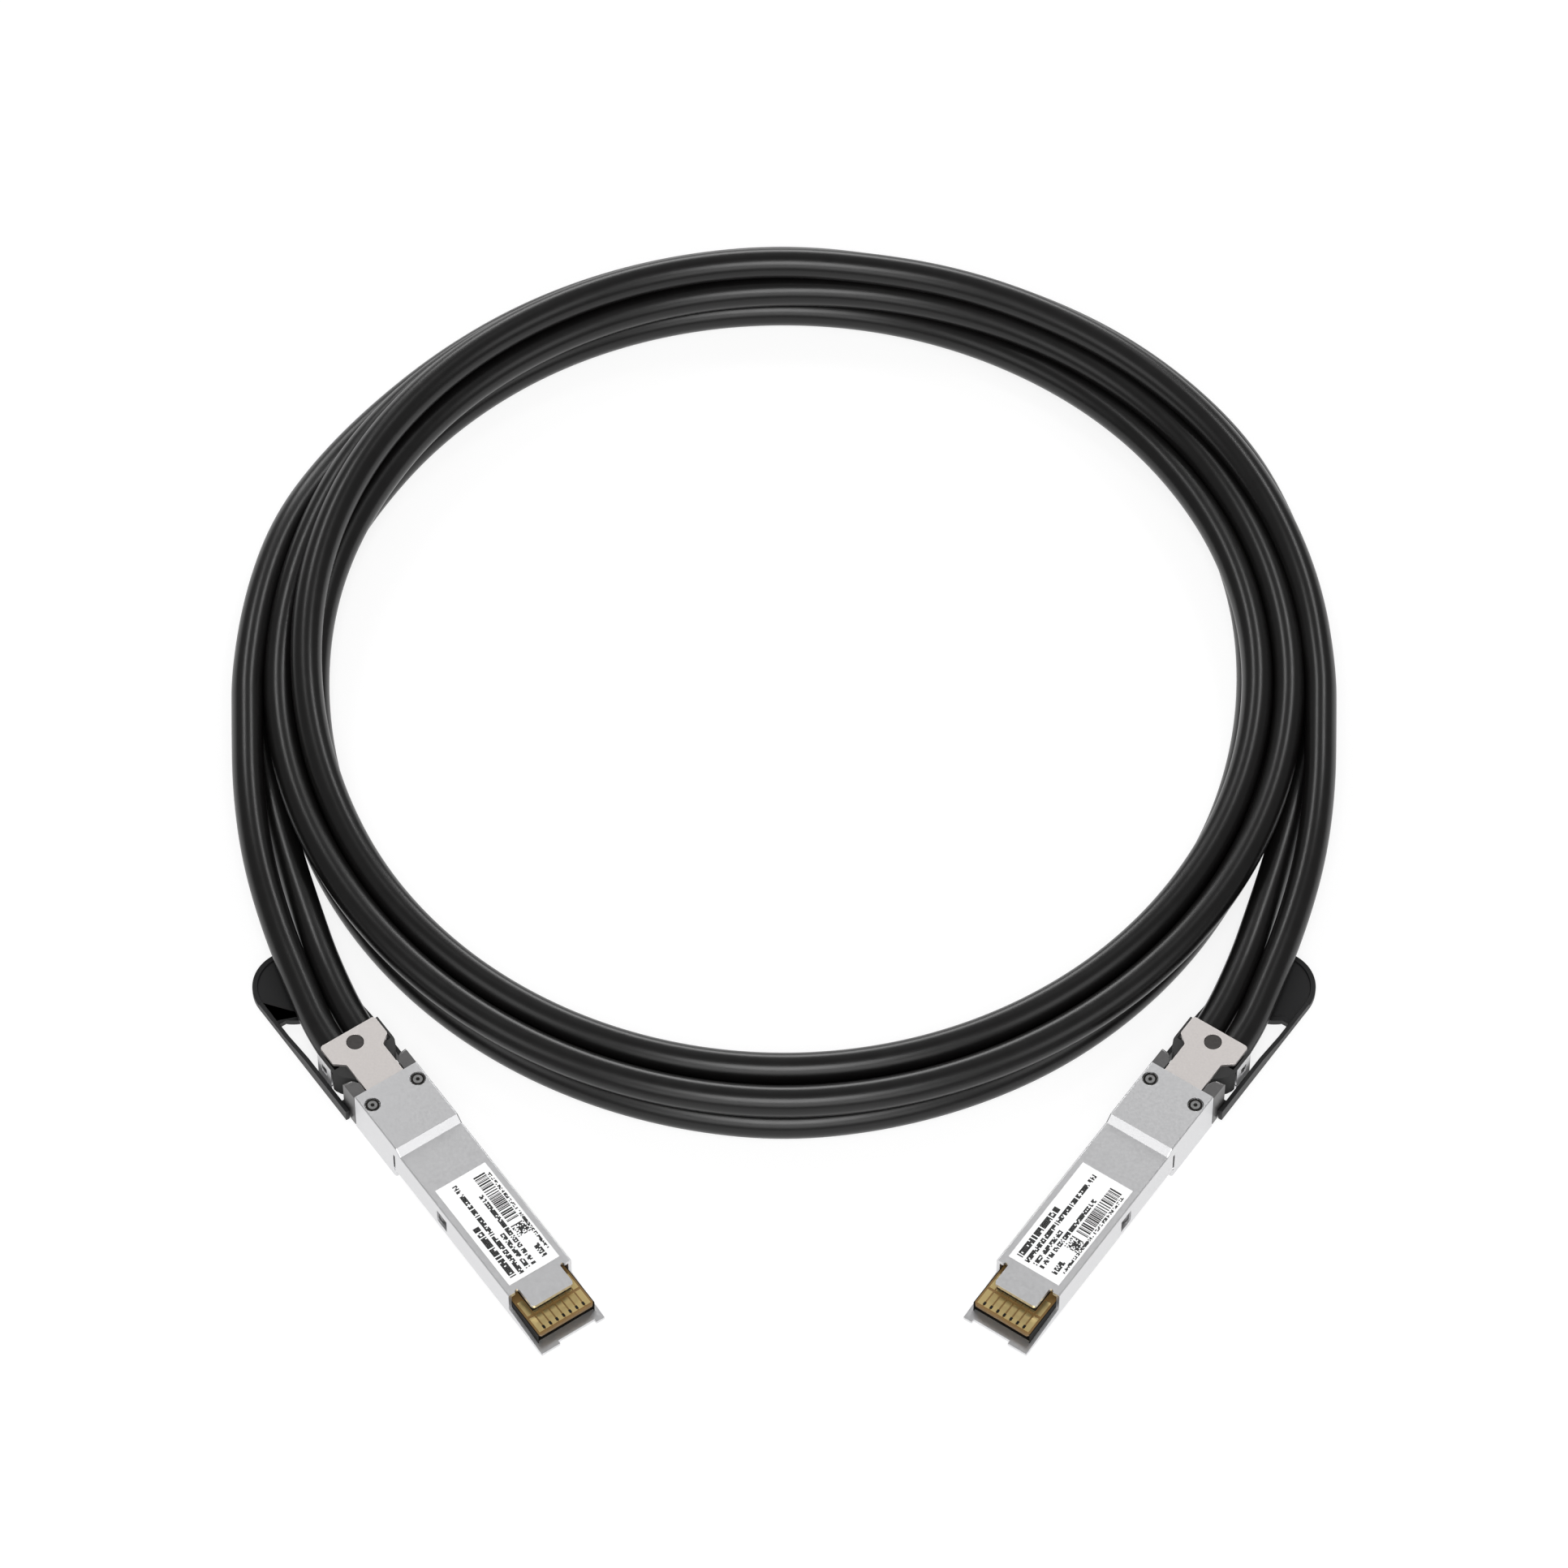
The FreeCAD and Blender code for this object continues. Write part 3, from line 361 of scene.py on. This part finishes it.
# ------------------------------------------------------------------------------- plug
@dataclass
class PlugFrame:
    """Where one plug lies."""

    side: Side
    rear: np.ndarray = field(init=False)
    ahead: np.ndarray = field(init=False)

    def __post_init__(self) -> None:
        """Reads the nose's place and the plug's direction from the record's mount."""
        mounts = {mount["name"]: mount for mount in frame["record"]["mounts"]}
        nose = mounts[f"{self.side.value}_plug_body"]
        self.ahead = np.array(nose["axis"], float)
        self.rear = np.array(nose["pos_m"], float) - self.ahead * PLUG_REACH
        self.rear[2] = 0.0

    def place(self, local: np.ndarray) -> np.ndarray:
        """Puts points of the plug's own frame in the row frame: rear + A ahead + L left + Z up.

        Args:
            local: rows of A, L and Z.

        Returns:
            Rows of X, Y and Z.
        """
        left = np.array([-self.ahead[1], self.ahead[0], 0.0])
        up = np.array([0.0, 0.0, 1.0])
        return self.rear + local @ np.stack([self.ahead, left, up])


@dataclass(frozen=True)
class PrintRow:
    """One line of print on the label, as small blocks in word-like groups.

    Lengths are in millimetres in the plug's own frame, and fill is the share of blocks kept.
    """

    across: float
    start: float
    end: float
    height: float
    fill: float
    seed: int


@dataclass(frozen=True)
class Disc:
    """One thin disc on a screw: its radius and its lift over the screw's top, in millimetres."""

    part: str
    radius: float
    lift: float
    sides: int
    finish: Finish


PRINT_ROWS = (PrintRow(-5.1, 47.5, 64.0, 1.7, 0.9, 3), PrintRow(-2.8, 34.6, 64.2, 1.3, 0.8, 5),
              PrintRow(-0.7, 52.5, 63.8, 1.2, 0.8, 7), PrintRow(1.1, 40.5, 63.8, 1.2, 0.8, 11),
              PrintRow(6.3, 36.0, 62.0, 0.8, 0.6, 13), PrintRow(4.5, 59.5, 63.9, 1.5, 0.66, 17))
# The rim and drive discs are painted shade for the screw's recess and socket; the face disc is the
# screw's own steel.
SCREW_DISCS = (Disc("rim", 1.78, 0.02, 28, SHADED_GAP),
               Disc("face", 1.2, 0.035, 24, FINISHES["screw_steel"]),
               Disc("drive", 0.55, 0.05, 6, SHADED_GAP))
# Low and high corners of each near-black box of painted shade (in the nose past the board's edges,
# the painted shadow under the tongue, in the side slots), (A, L, Z) in millimetres.
SHADE_BOXES = {
    "nose_floor": ((64.0, -8.2, 4.12), (78.9, 8.2, 4.2)),
    "nose_right_wall": ((64.0, -8.24, 4.1), (79.4, -8.06, 7.9)),
    "nose_left_wall": ((64.0, 8.06, 4.1), (79.4, 8.24, 7.9)),
    "under_tongue": ((66.0, -5.6, 8.12), (73.1, 5.6, 9.9)),
    "right_slot": ((17.2, -9.1, 4.4), (17.7, -8.9, 8.9)),
    "left_slot": ((17.2, 8.9, 4.4), (17.7, 9.1, 8.9)),
}


@dataclass
class Plug:
    """One plug: its CAD pieces in their finishes, and what only the eye needs.

    That is the label's print, the painted shade in the notches between the pads, the screws' faces
    with painted shade in their rims and drives, and the painted shade in the gaps.
    Word end is the chance that a word stops at a block. Block fill and cell fill are the shares
    of their pitches that blocks and cells take up, and cell share is the share of dark cells.
    """

    side: Side
    bevels: dict[str, float] = field(default_factory=lambda: {
        "top_cover": 0.12 * MM, "bottom_housing": 0.10 * MM, "cable_clamp": 0.07 * MM,
        "clamp_rivet": 0.10 * MM, "cover_screws": 0.14 * MM, "paddle_board": 0.05 * MM,
        "cable_boot": 0.5 * MM, "release_slider": 0.12 * MM, "pull_tab": 0.22 * MM,
    })
    label_top: float = 11.72 * MM
    ink_height: float = 0.02 * MM
    block_pitch: float = 0.34 * MM
    block_lines: int = 3
    block_fill: float = 0.95
    word_end: float = 0.12
    bar_span: tuple[float, float, float, float] = (35.2, 50.6, 2.3, 5.6)
    bar_widths: tuple[float, ...] = (0.15, 0.3, 0.45)
    bar_draws: int = 80
    bar_seed: int = 23
    square_span: tuple[float, float, float] = (52.0, 2.2, 3.6)
    square_cells: int = 11
    square_seed: int = 29
    cell_share: float = 0.55
    cell_fill: float = 0.97
    board_top: float = 8.0 * MM
    board_front: float = 79.7 * MM
    pad_pitch: float = 1.92 * MM
    notch_count: int = 7
    notch_half_width: float = 0.33 * MM
    notch_back: float = 1.95 * MM
    notch_front: float = 1.0 * MM
    notch_height: float = 0.085 * MM
    screw_axes: tuple[tuple[float, float], ...] = ((4.3, -6.65), (4.3, 6.65))
    screw_top: float = 13.0 * MM

    def build(self) -> None:
        """Dresses every CAD piece of the plug and adds what only the eye needs."""
        slots = {part["node"]: part["material_slot"] for part in frame["record"]["subparts"]}
        mine = sorted(node for node in slots if node.startswith(self.side.value + "_")
                      and not node.endswith(CABLE_ENDS))
        for node in mine:
            finish = FINISHES[slots[node]]
            part = node.removeprefix(self.side.value + "_")
            if part in self.bevels:
                made = dressed_copy(node, finish, self.bevels[part])
            else:
                paint(frame["nodes"][node], finish)
        place = PlugFrame(self.side)
        self.label_print(place)
        self.board_notch_shade(place)
        self.screw_faces(place)
        self.shaded_gaps(place)
        LOG.info("%s plug: %d CAD pieces dressed", self.side.value, len(mine))

    def label_print(self, place: PlugFrame) -> None:
        """Plain print: rows of blocks, a bar code and a square code, a hair above the label.

        Args:
            place: where the plug lies.
        """
        spans = [self.word_blocks(row) for row in PRINT_ROWS]
        spans.append(self.bar_code(*self.bar_span))
        spans.append(self.square_code(*self.square_span))
        low, high = (np.concatenate([span[i] for span in spans]) * MM for i in (0, 1))
        low = np.column_stack([low, np.full(len(low), self.label_top)])
        high = np.column_stack([high, np.full(len(high), self.label_top + self.ink_height)])
        verts, faces = closed_boxes(low, high)
        name = f"{self.side.value}_label_print"
        made = mesh_piece(name, place.place(verts), faces, PRINT_INK)
        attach(made, HARDWARE_BODY)
        LOG.info("%s: %d blocks of print", name, len(low))

    def word_blocks(self, row: PrintRow) -> tuple[np.ndarray, np.ndarray]:
        """Blocks on a grid of a few lines, each kept at random, with a gap after each word.

        Args:
            row: where the line runs and how full it is, in millimetres.

        Returns:
            Low and high corners (A, L) of the blocks.
        """
        draw = np.random.default_rng(row.seed)
        pitch = self.block_pitch / MM
        a = np.arange(row.start, row.end, pitch)
        lines = np.linspace(-0.5, 0.5, self.block_lines + 1)[:-1] * row.height + row.across
        grid_a, grid_l = np.meshgrid(a, lines, indexing="ij")
        word = np.cumsum(draw.random(len(a)) < self.word_end)
        gap = np.diff(word, prepend=word[0]) > 0
        kept = (draw.random(grid_a.shape) < row.fill) & ~gap[:, None]
        low = np.column_stack([grid_a[kept], grid_l[kept]])
        return low, low + np.array([pitch * self.block_fill, row.height / self.block_lines])

    def bar_code(self, start: float, end: float, low: float, high: float
                 ) -> tuple[np.ndarray, np.ndarray]:
        """Bars of uneven width along A.

        Args:
            start: where the bars begin along A, in millimetres.
            end: where they stop.
            low: their lower end along L.
            high: their upper end along L.

        Returns:
            Low and high corners (A, L) of the bars.
        """
        draw = np.random.default_rng(self.bar_seed)
        widths = draw.choice(self.bar_widths, self.bar_draws)
        edges = start + np.cumsum(widths)
        edges = edges[edges < end]
        starts, ends = edges[:-1:2], edges[1::2]
        count = min(len(starts), len(ends))
        low_corner = np.column_stack([starts[:count], np.full(count, low)])
        return low_corner, np.column_stack([ends[:count], np.full(count, high)])

    def square_code(self, start: float, low: float, size: float) -> tuple[np.ndarray, np.ndarray]:
        """A square of cells, each dark or left out at random.

        Args:
            start: the square's lower corner along A, in millimetres.
            low: its lower corner along L.
            size: its side.

        Returns:
            Low and high corners (A, L) of the dark cells.
        """
        draw = np.random.default_rng(self.square_seed)
        cells = self.square_cells
        kept = np.argwhere(draw.random((cells, cells)) < self.cell_share)
        corner = np.array([start, low]) + kept * size / cells
        return corner, corner + self.cell_fill * size / cells

    def board_notch_shade(self, place: PlugFrame) -> None:
        """Painted shade for the notches between the contact pads: dark boxes just behind the
        board's front edge.

        Args:
            place: where the plug lies.
        """
        across = (np.arange(self.notch_count) - (self.notch_count - 1) / 2) * self.pad_pitch
        low = np.column_stack([
            np.full(self.notch_count, self.board_front - self.notch_back),
            across - self.notch_half_width, np.full(self.notch_count, self.board_top)])
        high = low + np.array([self.notch_back - self.notch_front, 2 * self.notch_half_width,
                               self.notch_height])
        verts, faces = closed_boxes(low, high)
        name = f"{self.side.value}_board_notch_shade"
        made = mesh_piece(name, place.place(verts), faces, SHADED_GAP)
        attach(made, HARDWARE_BODY)
        LOG.info("%s: %d notches", name, self.notch_count)

    def screw_faces(self, place: PlugFrame) -> None:
        """Each screw's rim and drive in painted shade, with its steel face between them, as thin
        discs one over another.

        Args:
            place: where the plug lies.
        """
        centres = np.array(self.screw_axes) * MM
        for disc in SCREW_DISCS:
            verts, faces = closed_prisms(centres, disc.radius * MM, self.screw_top,
                                         self.screw_top + disc.lift * MM, disc.sides)
            made = mesh_piece(f"{self.side.value}_screw_{disc.part}", place.place(verts), faces,
                              disc.finish)
            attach(made, HARDWARE_BODY)
        LOG.info("%s: %d screw faces", self.side.value, len(centres))

    def shaded_gaps(self, place: PlugFrame) -> None:
        """Near-black boxes of painted shade seen past the board's edges, under the tongue and in
        the side slots.

        Args:
            place: where the plug lies.
        """
        low, high = (np.array([box[end] for box in SHADE_BOXES.values()]) for end in (0, 1))
        verts, faces = closed_boxes(low * MM, high * MM)
        made = mesh_piece(f"{self.side.value}_shaded_gaps", place.place(verts), faces, SHADED_GAP)
        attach(made, HARDWARE_BODY)
        LOG.info("%s: %d shaded gaps", self.side.value, len(low))


def paint(node: bpy.types.Object, finish: Finish) -> None:
    """Gives a CAD node its finish."""
    node.data.materials.clear()
    node.data.materials.append(finish.material())


# ------------------------------------------------------------------------------- cable
@dataclass
class Strand:
    """One of the two cables: out of the left clamp, two and a half turns, into the right clamp.

    A station is (turn, out, up): turn is in degrees clockwise from the coil's left side, out is
    the distance outside the coil's radius and up the height, both in cable diameters.
    """

    name: str
    across: float
    first_run: float
    lead: tuple[tuple[float, float, float], ...]
    stations: tuple[tuple[float, float, float], ...]
    replaced: tuple[str, ...]
    length: float
    diameter: float = 8.0 * MM
    coil_radius: float = 119.9 * MM
    step: float = 10.0
    last_run: float = 16.0 * MM
    clamp_depth: float = 10.3 * MM
    clamp_height: float = 7.5 * MM
    spline_order: int = 3
    steps_along: int = 8
    steps_round: int = 8

    def coil_points(self, centre: np.ndarray) -> np.ndarray:
        """Control points of the turns, one every step, worked out from the stations.

        The out and up values run straight between stations. A quadratic spline stays inside a
        ring of control points by the cosine of half a step, so the ring is that much larger.

        Args:
            centre: the coil's centre on the floor.

        Returns:
            The points, in order from the left end of the turns to the right end.
        """
        turn, out, up = np.array(self.stations).T
        at = np.arange(0.0, turn[-1] + self.step / 2, self.step)
        radius = self.coil_radius + np.interp(at, turn, out) * self.diameter
        radius = radius / math.cos(math.radians(self.step / 2))
        height = np.interp(at, turn, up) * self.diameter
        angle = np.radians(180.0 - at)
        return centre + np.column_stack([radius * np.cos(angle), radius * np.sin(angle), height])

    def lead_points(self, side: Side, centre: np.ndarray) -> np.ndarray:
        """The free stretch between one clamp and the coil, from the clamp onwards.

        Args:
            side: which plug it leaves.
            centre: the coil's centre on the floor.

        Returns:
            The route's points, the last one a run short of the coil.
        """
        mirror = np.array([-1.0 if side is Side.RIGHT else 1.0, 1.0, 1.0])
        plug = PlugFrame(side)
        across = self.across * (-1.0 if side is Side.RIGHT else 1.0)
        clamp = plug.place(np.array([[-self.clamp_depth, across, self.clamp_height],
                                     [-self.clamp_depth - self.first_run, across,
                                      self.clamp_height]]))
        _, out, up = self.stations[0 if side is Side.LEFT else -1]
        end = np.array([-self.coil_radius - out * self.diameter, -self.last_run,
                        up * self.diameter])
        free = np.vstack([np.array(self.lead), end]) * mirror + centre
        return np.vstack([clamp, free])

    def build(self, centre: np.ndarray) -> None:
        """Args:
            centre: the coil's centre on the floor.
        """
        points = np.vstack([self.lead_points(Side.LEFT, centre), self.coil_points(centre),
                            self.lead_points(Side.RIGHT, centre)[::-1]])
        curve = bpy.data.curves.new(self.name, "CURVE")
        curve.dimensions = "3D"
        curve.bevel_depth = self.diameter / 2
        curve.bevel_resolution = self.steps_round
        curve.use_fill_caps = True
        spline = curve.splines.new("NURBS")
        spline.points.add(len(points) - 1)
        spline.points.foreach_set("co", np.column_stack([points, np.ones(len(points))]).ravel())
        spline.order_u = self.spline_order
        spline.use_endpoint_u = True
        spline.resolution_u = self.steps_along
        spline.use_smooth = True
        curve.materials.append(FINISHES["cable_jacket"].material())
        made = bpy.data.objects.new(self.name, curve)
        bpy.context.scene.collection.objects.link(made)
        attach(made, HARDWARE_BODY)
        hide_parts(*self.replaced)
        LOG.info("%s: %d control points", self.name, len(points))


OUTER_STRAND = Strand(
    name="outer_cable", across=-4.05 * MM, first_run=11.1 * MM,
    lead=((-0.1194, -0.0940, 0.0079), (-0.1263, -0.0756, 0.0086), (-0.1317, -0.0565, 0.0104),
          (-0.1346, -0.0365, 0.0116)),
    stations=((0, 1.95, 1.46), (12, 1.88, 1.44), (20, 1.92, 1.26), (30, 1.88, 0.78),
              (40, 1.82, 0.52), (50, 1.82, 0.5), (60, 1.88, 0.5), (75, 1.95, 0.5),
              (90, 2.0, 0.5), (120, 1.8, 0.5), (135, 1.66, 0.5),
              (150, 1.4, 0.5), (165, 1.06, 0.5), (180, 0.84, 0.5), (195, 0.7, 0.5),
              (210, 0.75, 0.5), (240, 1.13, 0.5), (270, 1.35, 0.5), (315, 1.02, 0.5),
              (330, 0.9, 0.5), (345, 0.78, 0.5), (360, 0.75, 0.5), (375, 0.42, 0.5),
              (390, 0.18, 0.5), (405, 0.13, 0.5), (420, 0.09, 0.5), (435, 0.03, 0.5),
              (450, 0.0, 0.5), (465, -0.04, 0.58), (480, -0.13, 0.8), (495, -0.17, 1.05),
              (510, -0.16, 1.32), (525, -0.06, 1.48), (540, 0.0, 1.5), (690, 0.0, 1.5),
              (705, 0.02, 1.75), (720, 0.12, 2.03), (735, 0.28, 2.4), (750, 0.35, 2.6),
              (765, 0.45, 2.52), (780, 0.5, 2.43), (820, 0.5, 2.38), (840, 0.82, 2.38),
              (855, 1.22, 2.27), (870, 1.6, 2.0), (885, 1.86, 1.65), (900, 1.95, 1.46)),
    replaced=("cable_coil", "left_outer_cable", "right_outer_cable"), length=2.23)
INNER_STRAND = Strand(
    name="inner_cable", across=4.05 * MM, first_run=10.2 * MM,
    lead=((-0.1141, -0.0864, 0.0076), (-0.1191, -0.0704, 0.0065), (-0.1243, -0.0524, 0.0046),
          (-0.1289, -0.0340, 0.0040)),
    stations=((0, 1.64, 0.5), (10, 1.45, 0.5), (20, 1.24, 0.64), (30, 0.96, 0.8),
              (45, 0.97, 0.82), (60, 0.98, 0.68),
              (75, 1.0, 0.55), (90, 1.0, 0.5), (105, 0.97, 0.5), (120, 0.86, 0.5),
              (135, 0.69, 0.5), (150, 0.42, 0.5), (165, 0.1, 0.5), (180, -0.13, 0.5),
              (195, -0.27, 0.5), (210, -0.24, 0.5), (240, 0.14, 0.5), (270, 0.35, 0.5),
              (315, 0.04, 0.5), (330, -0.04, 0.52), (345, -0.1, 0.74), (360, -0.08, 1.05),
              (375, -0.04, 1.36), (390, -0.08, 1.48), (405, 0.0, 1.5),
              (450, 0.04, 1.5), (465, 0.18, 1.52),
              (480, 0.4, 1.58), (495, 0.64, 1.56), (510, 0.8, 1.5), (525, 0.92, 1.5),
              (540, 1.0, 1.5), (630, 1.19, 1.5), (690, 1.02, 1.5), (720, 1.0, 1.48),
              (735, 0.96, 1.6), (750, 0.98, 1.88), (765, 1.0, 1.8), (780, 1.0, 1.65),
              (795, 1.0, 1.54), (810, 1.0, 1.5), (825, 1.16, 1.5), (840, 1.44, 1.5),
              (855, 1.78, 1.46), (870, 2.08, 1.19), (885, 2.03, 0.72), (900, 1.75, 0.5)),
    replaced=("left_inner_cable", "right_inner_cable"), length=2.22)


# ------------------------------------------------------------------------------- studio
@dataclass(frozen=True)
class Lamp:
    """One soft area lamp: its place about the coil's centre, its width and height, its watts."""

    name: str
    place: tuple[float, float, float]
    size: tuple[float, float]
    power: float


LAMPS = (
    Lamp("key_softbox", (0.0, -1.24, 1.84), (0.9, 0.9), 20.0),
    Lamp("front_softbox", (0.0, -1.7, 0.95), (1.8, 0.7), 9.0),
    Lamp("left_softbox", (-1.36, -0.84, 1.2), (0.9, 0.9), 4.0),
    Lamp("right_softbox", (1.36, -0.84, 1.2), (0.9, 0.9), 4.0),
    Lamp("back_left_strip", (-0.8, 1.23, 1.64), (0.35, 0.35), 4.6),
    Lamp("back_right_strip", (0.8, 1.23, 1.64), (0.35, 0.35), 4.6),
    Lamp("back_low_softbox", (0.0, 2.1, 0.75), (1.6, 0.7), 20.0),
)


@dataclass
class Studio:
    """Floor, world, lamps and camera."""

    distance: float = 2.36387
    elevation: float = 55.806
    aim_from_coil: float = -0.026986
    lens: float = 214.70
    sensor: float = 36.0
    far_limit: float = 20.0
    floor_size: float = 6.0
    floor_drop: float = 0.0002
    floor_tone: float = 0.25
    floor_glow: float = 0.8
    sky: float = 0.25

    def build(self, centre: np.ndarray) -> None:
        """Builds the studio around the coil.

        Args:
            centre: the coil's centre on the floor.
        """
        self.floor(centre)
        self.world()
        self.camera(centre)
        for lamp in LAMPS:
            self.hang(lamp, centre)

    def floor(self, centre: np.ndarray) -> None:
        """Wide white floor: pale by itself to the camera and to gloss, and it takes shadows.

        Args:
            centre: the coil's centre on the floor.
        """
        half = self.floor_size / 2
        corners = np.array([[-half, -half, 0], [half, -half, 0], [half, half, 0], [-half, half, 0]])
        made = mesh_piece("studio_floor", corners + centre - [0, 0, self.floor_drop],
                          np.array([[0, 1, 2, 3]]), STUDIO_FLOOR)
        material = made.data.materials[0]
        nodes, links = material.node_tree.nodes, material.node_tree.links
        nodes.remove(nodes["Principled BSDF"])
        diffuse, glow = nodes.new("ShaderNodeBsdfDiffuse"), nodes.new("ShaderNodeEmission")
        diffuse.inputs["Color"].default_value = (*[self.floor_tone] * 3, 1.0)
        both = nodes.new("ShaderNodeAddShader")
        strength = math_node(nodes, "MULTIPLY", self.floor_glow)
        links.new(seen_directly(nodes, links), strength.inputs[0])
        links.new(strength.outputs[0], glow.inputs["Strength"])
        links.new(diffuse.outputs[0], both.inputs[0])
        links.new(glow.outputs[0], both.inputs[1])
        links.new(both.outputs[0], nodes["Material Output"].inputs["Surface"])

    def world(self) -> None:
        """Even grey light from all round, white where the camera sees it."""
        world = bpy.data.worlds.new("studio_world")
        bpy.context.scene.world = world
        world.use_nodes = True
        nodes, links = world.node_tree.nodes, world.node_tree.links
        path = nodes.new("ShaderNodeLightPath")
        strength = math_node(nodes, "MULTIPLY_ADD", 1.0 - self.sky, self.sky)
        links.new(path.outputs["Is Camera Ray"], strength.inputs[0])
        links.new(strength.outputs[0], nodes["Background"].inputs["Strength"])
        nodes["Background"].inputs["Color"].default_value = (1.0, 1.0, 1.0, 1.0)

    def camera(self, centre: np.ndarray) -> None:
        """Long lens that looks down on the coil from the noses' side.

        Args:
            centre: the coil's centre on the floor.
        """
        tilt = math.radians(self.elevation)
        aim = centre + np.array([0.0, self.aim_from_coil, 0.0])
        data = bpy.data.cameras.new("camera")
        data.lens = self.lens
        data.sensor_width = self.sensor
        data.clip_end = self.far_limit
        made = bpy.data.objects.new("camera", data)
        made.location = aim + self.distance * np.array([0.0, -math.cos(tilt), math.sin(tilt)])
        made.rotation_euler = (math.pi / 2 - tilt, 0.0, 0.0)
        bpy.context.scene.collection.objects.link(made)
        bpy.context.scene.camera = made

    def hang(self, lamp: Lamp, centre: np.ndarray) -> None:
        """Hangs a lamp and aims it at the coil's centre.

        Args:
            lamp: the lamp.
            centre: the coil's centre.
        """
        data = bpy.data.lights.new(lamp.name, "AREA")
        data.shape = "RECTANGLE"
        data.size, data.size_y = lamp.size
        data.energy = lamp.power
        made = bpy.data.objects.new(lamp.name, data)
        made.location = centre + np.array(lamp.place)
        aim = -Vector(lamp.place)
        made.rotation_euler = aim.to_track_quat("-Z", "Y").to_euler()
        bpy.context.scene.collection.objects.link(made)


def seen_directly(nodes: bpy.types.Nodes, links: bpy.types.NodeLinks) -> bpy.types.NodeSocket:
    """Socket that is 1 on camera, glossy and transmission rays, and 0 on all others.

    Args:
        nodes: the tree's nodes.
        links: the tree's links.

    Returns:
        The socket.
    """
    path = nodes.new("ShaderNodeLightPath")
    first, second = math_node(nodes, "MAXIMUM"), math_node(nodes, "MAXIMUM")
    links.new(path.outputs["Is Camera Ray"], first.inputs[0])
    links.new(path.outputs["Is Glossy Ray"], first.inputs[1])
    links.new(first.outputs[0], second.inputs[0])
    links.new(path.outputs["Is Transmission Ray"], second.inputs[1])
    return second.outputs[0]


def main() -> None:
    """Builds the plugs, the two cables and the studio."""
    logging.basicConfig(level=logging.INFO, format="%(message)s")
    scene = bpy.context.scene
    scene.view_settings.view_transform = "Standard"
    rear = PlugFrame(Side.LEFT).rear
    centre = np.array([0.0, rear[1] + REAR_FROM_COIL, 0.0])
    for side in Side:
        Plug(side).build()
    for strand in (OUTER_STRAND, INNER_STRAND):
        strand.build(centre)
    Studio().build(centre)


if __name__ == "__main__":
    main()
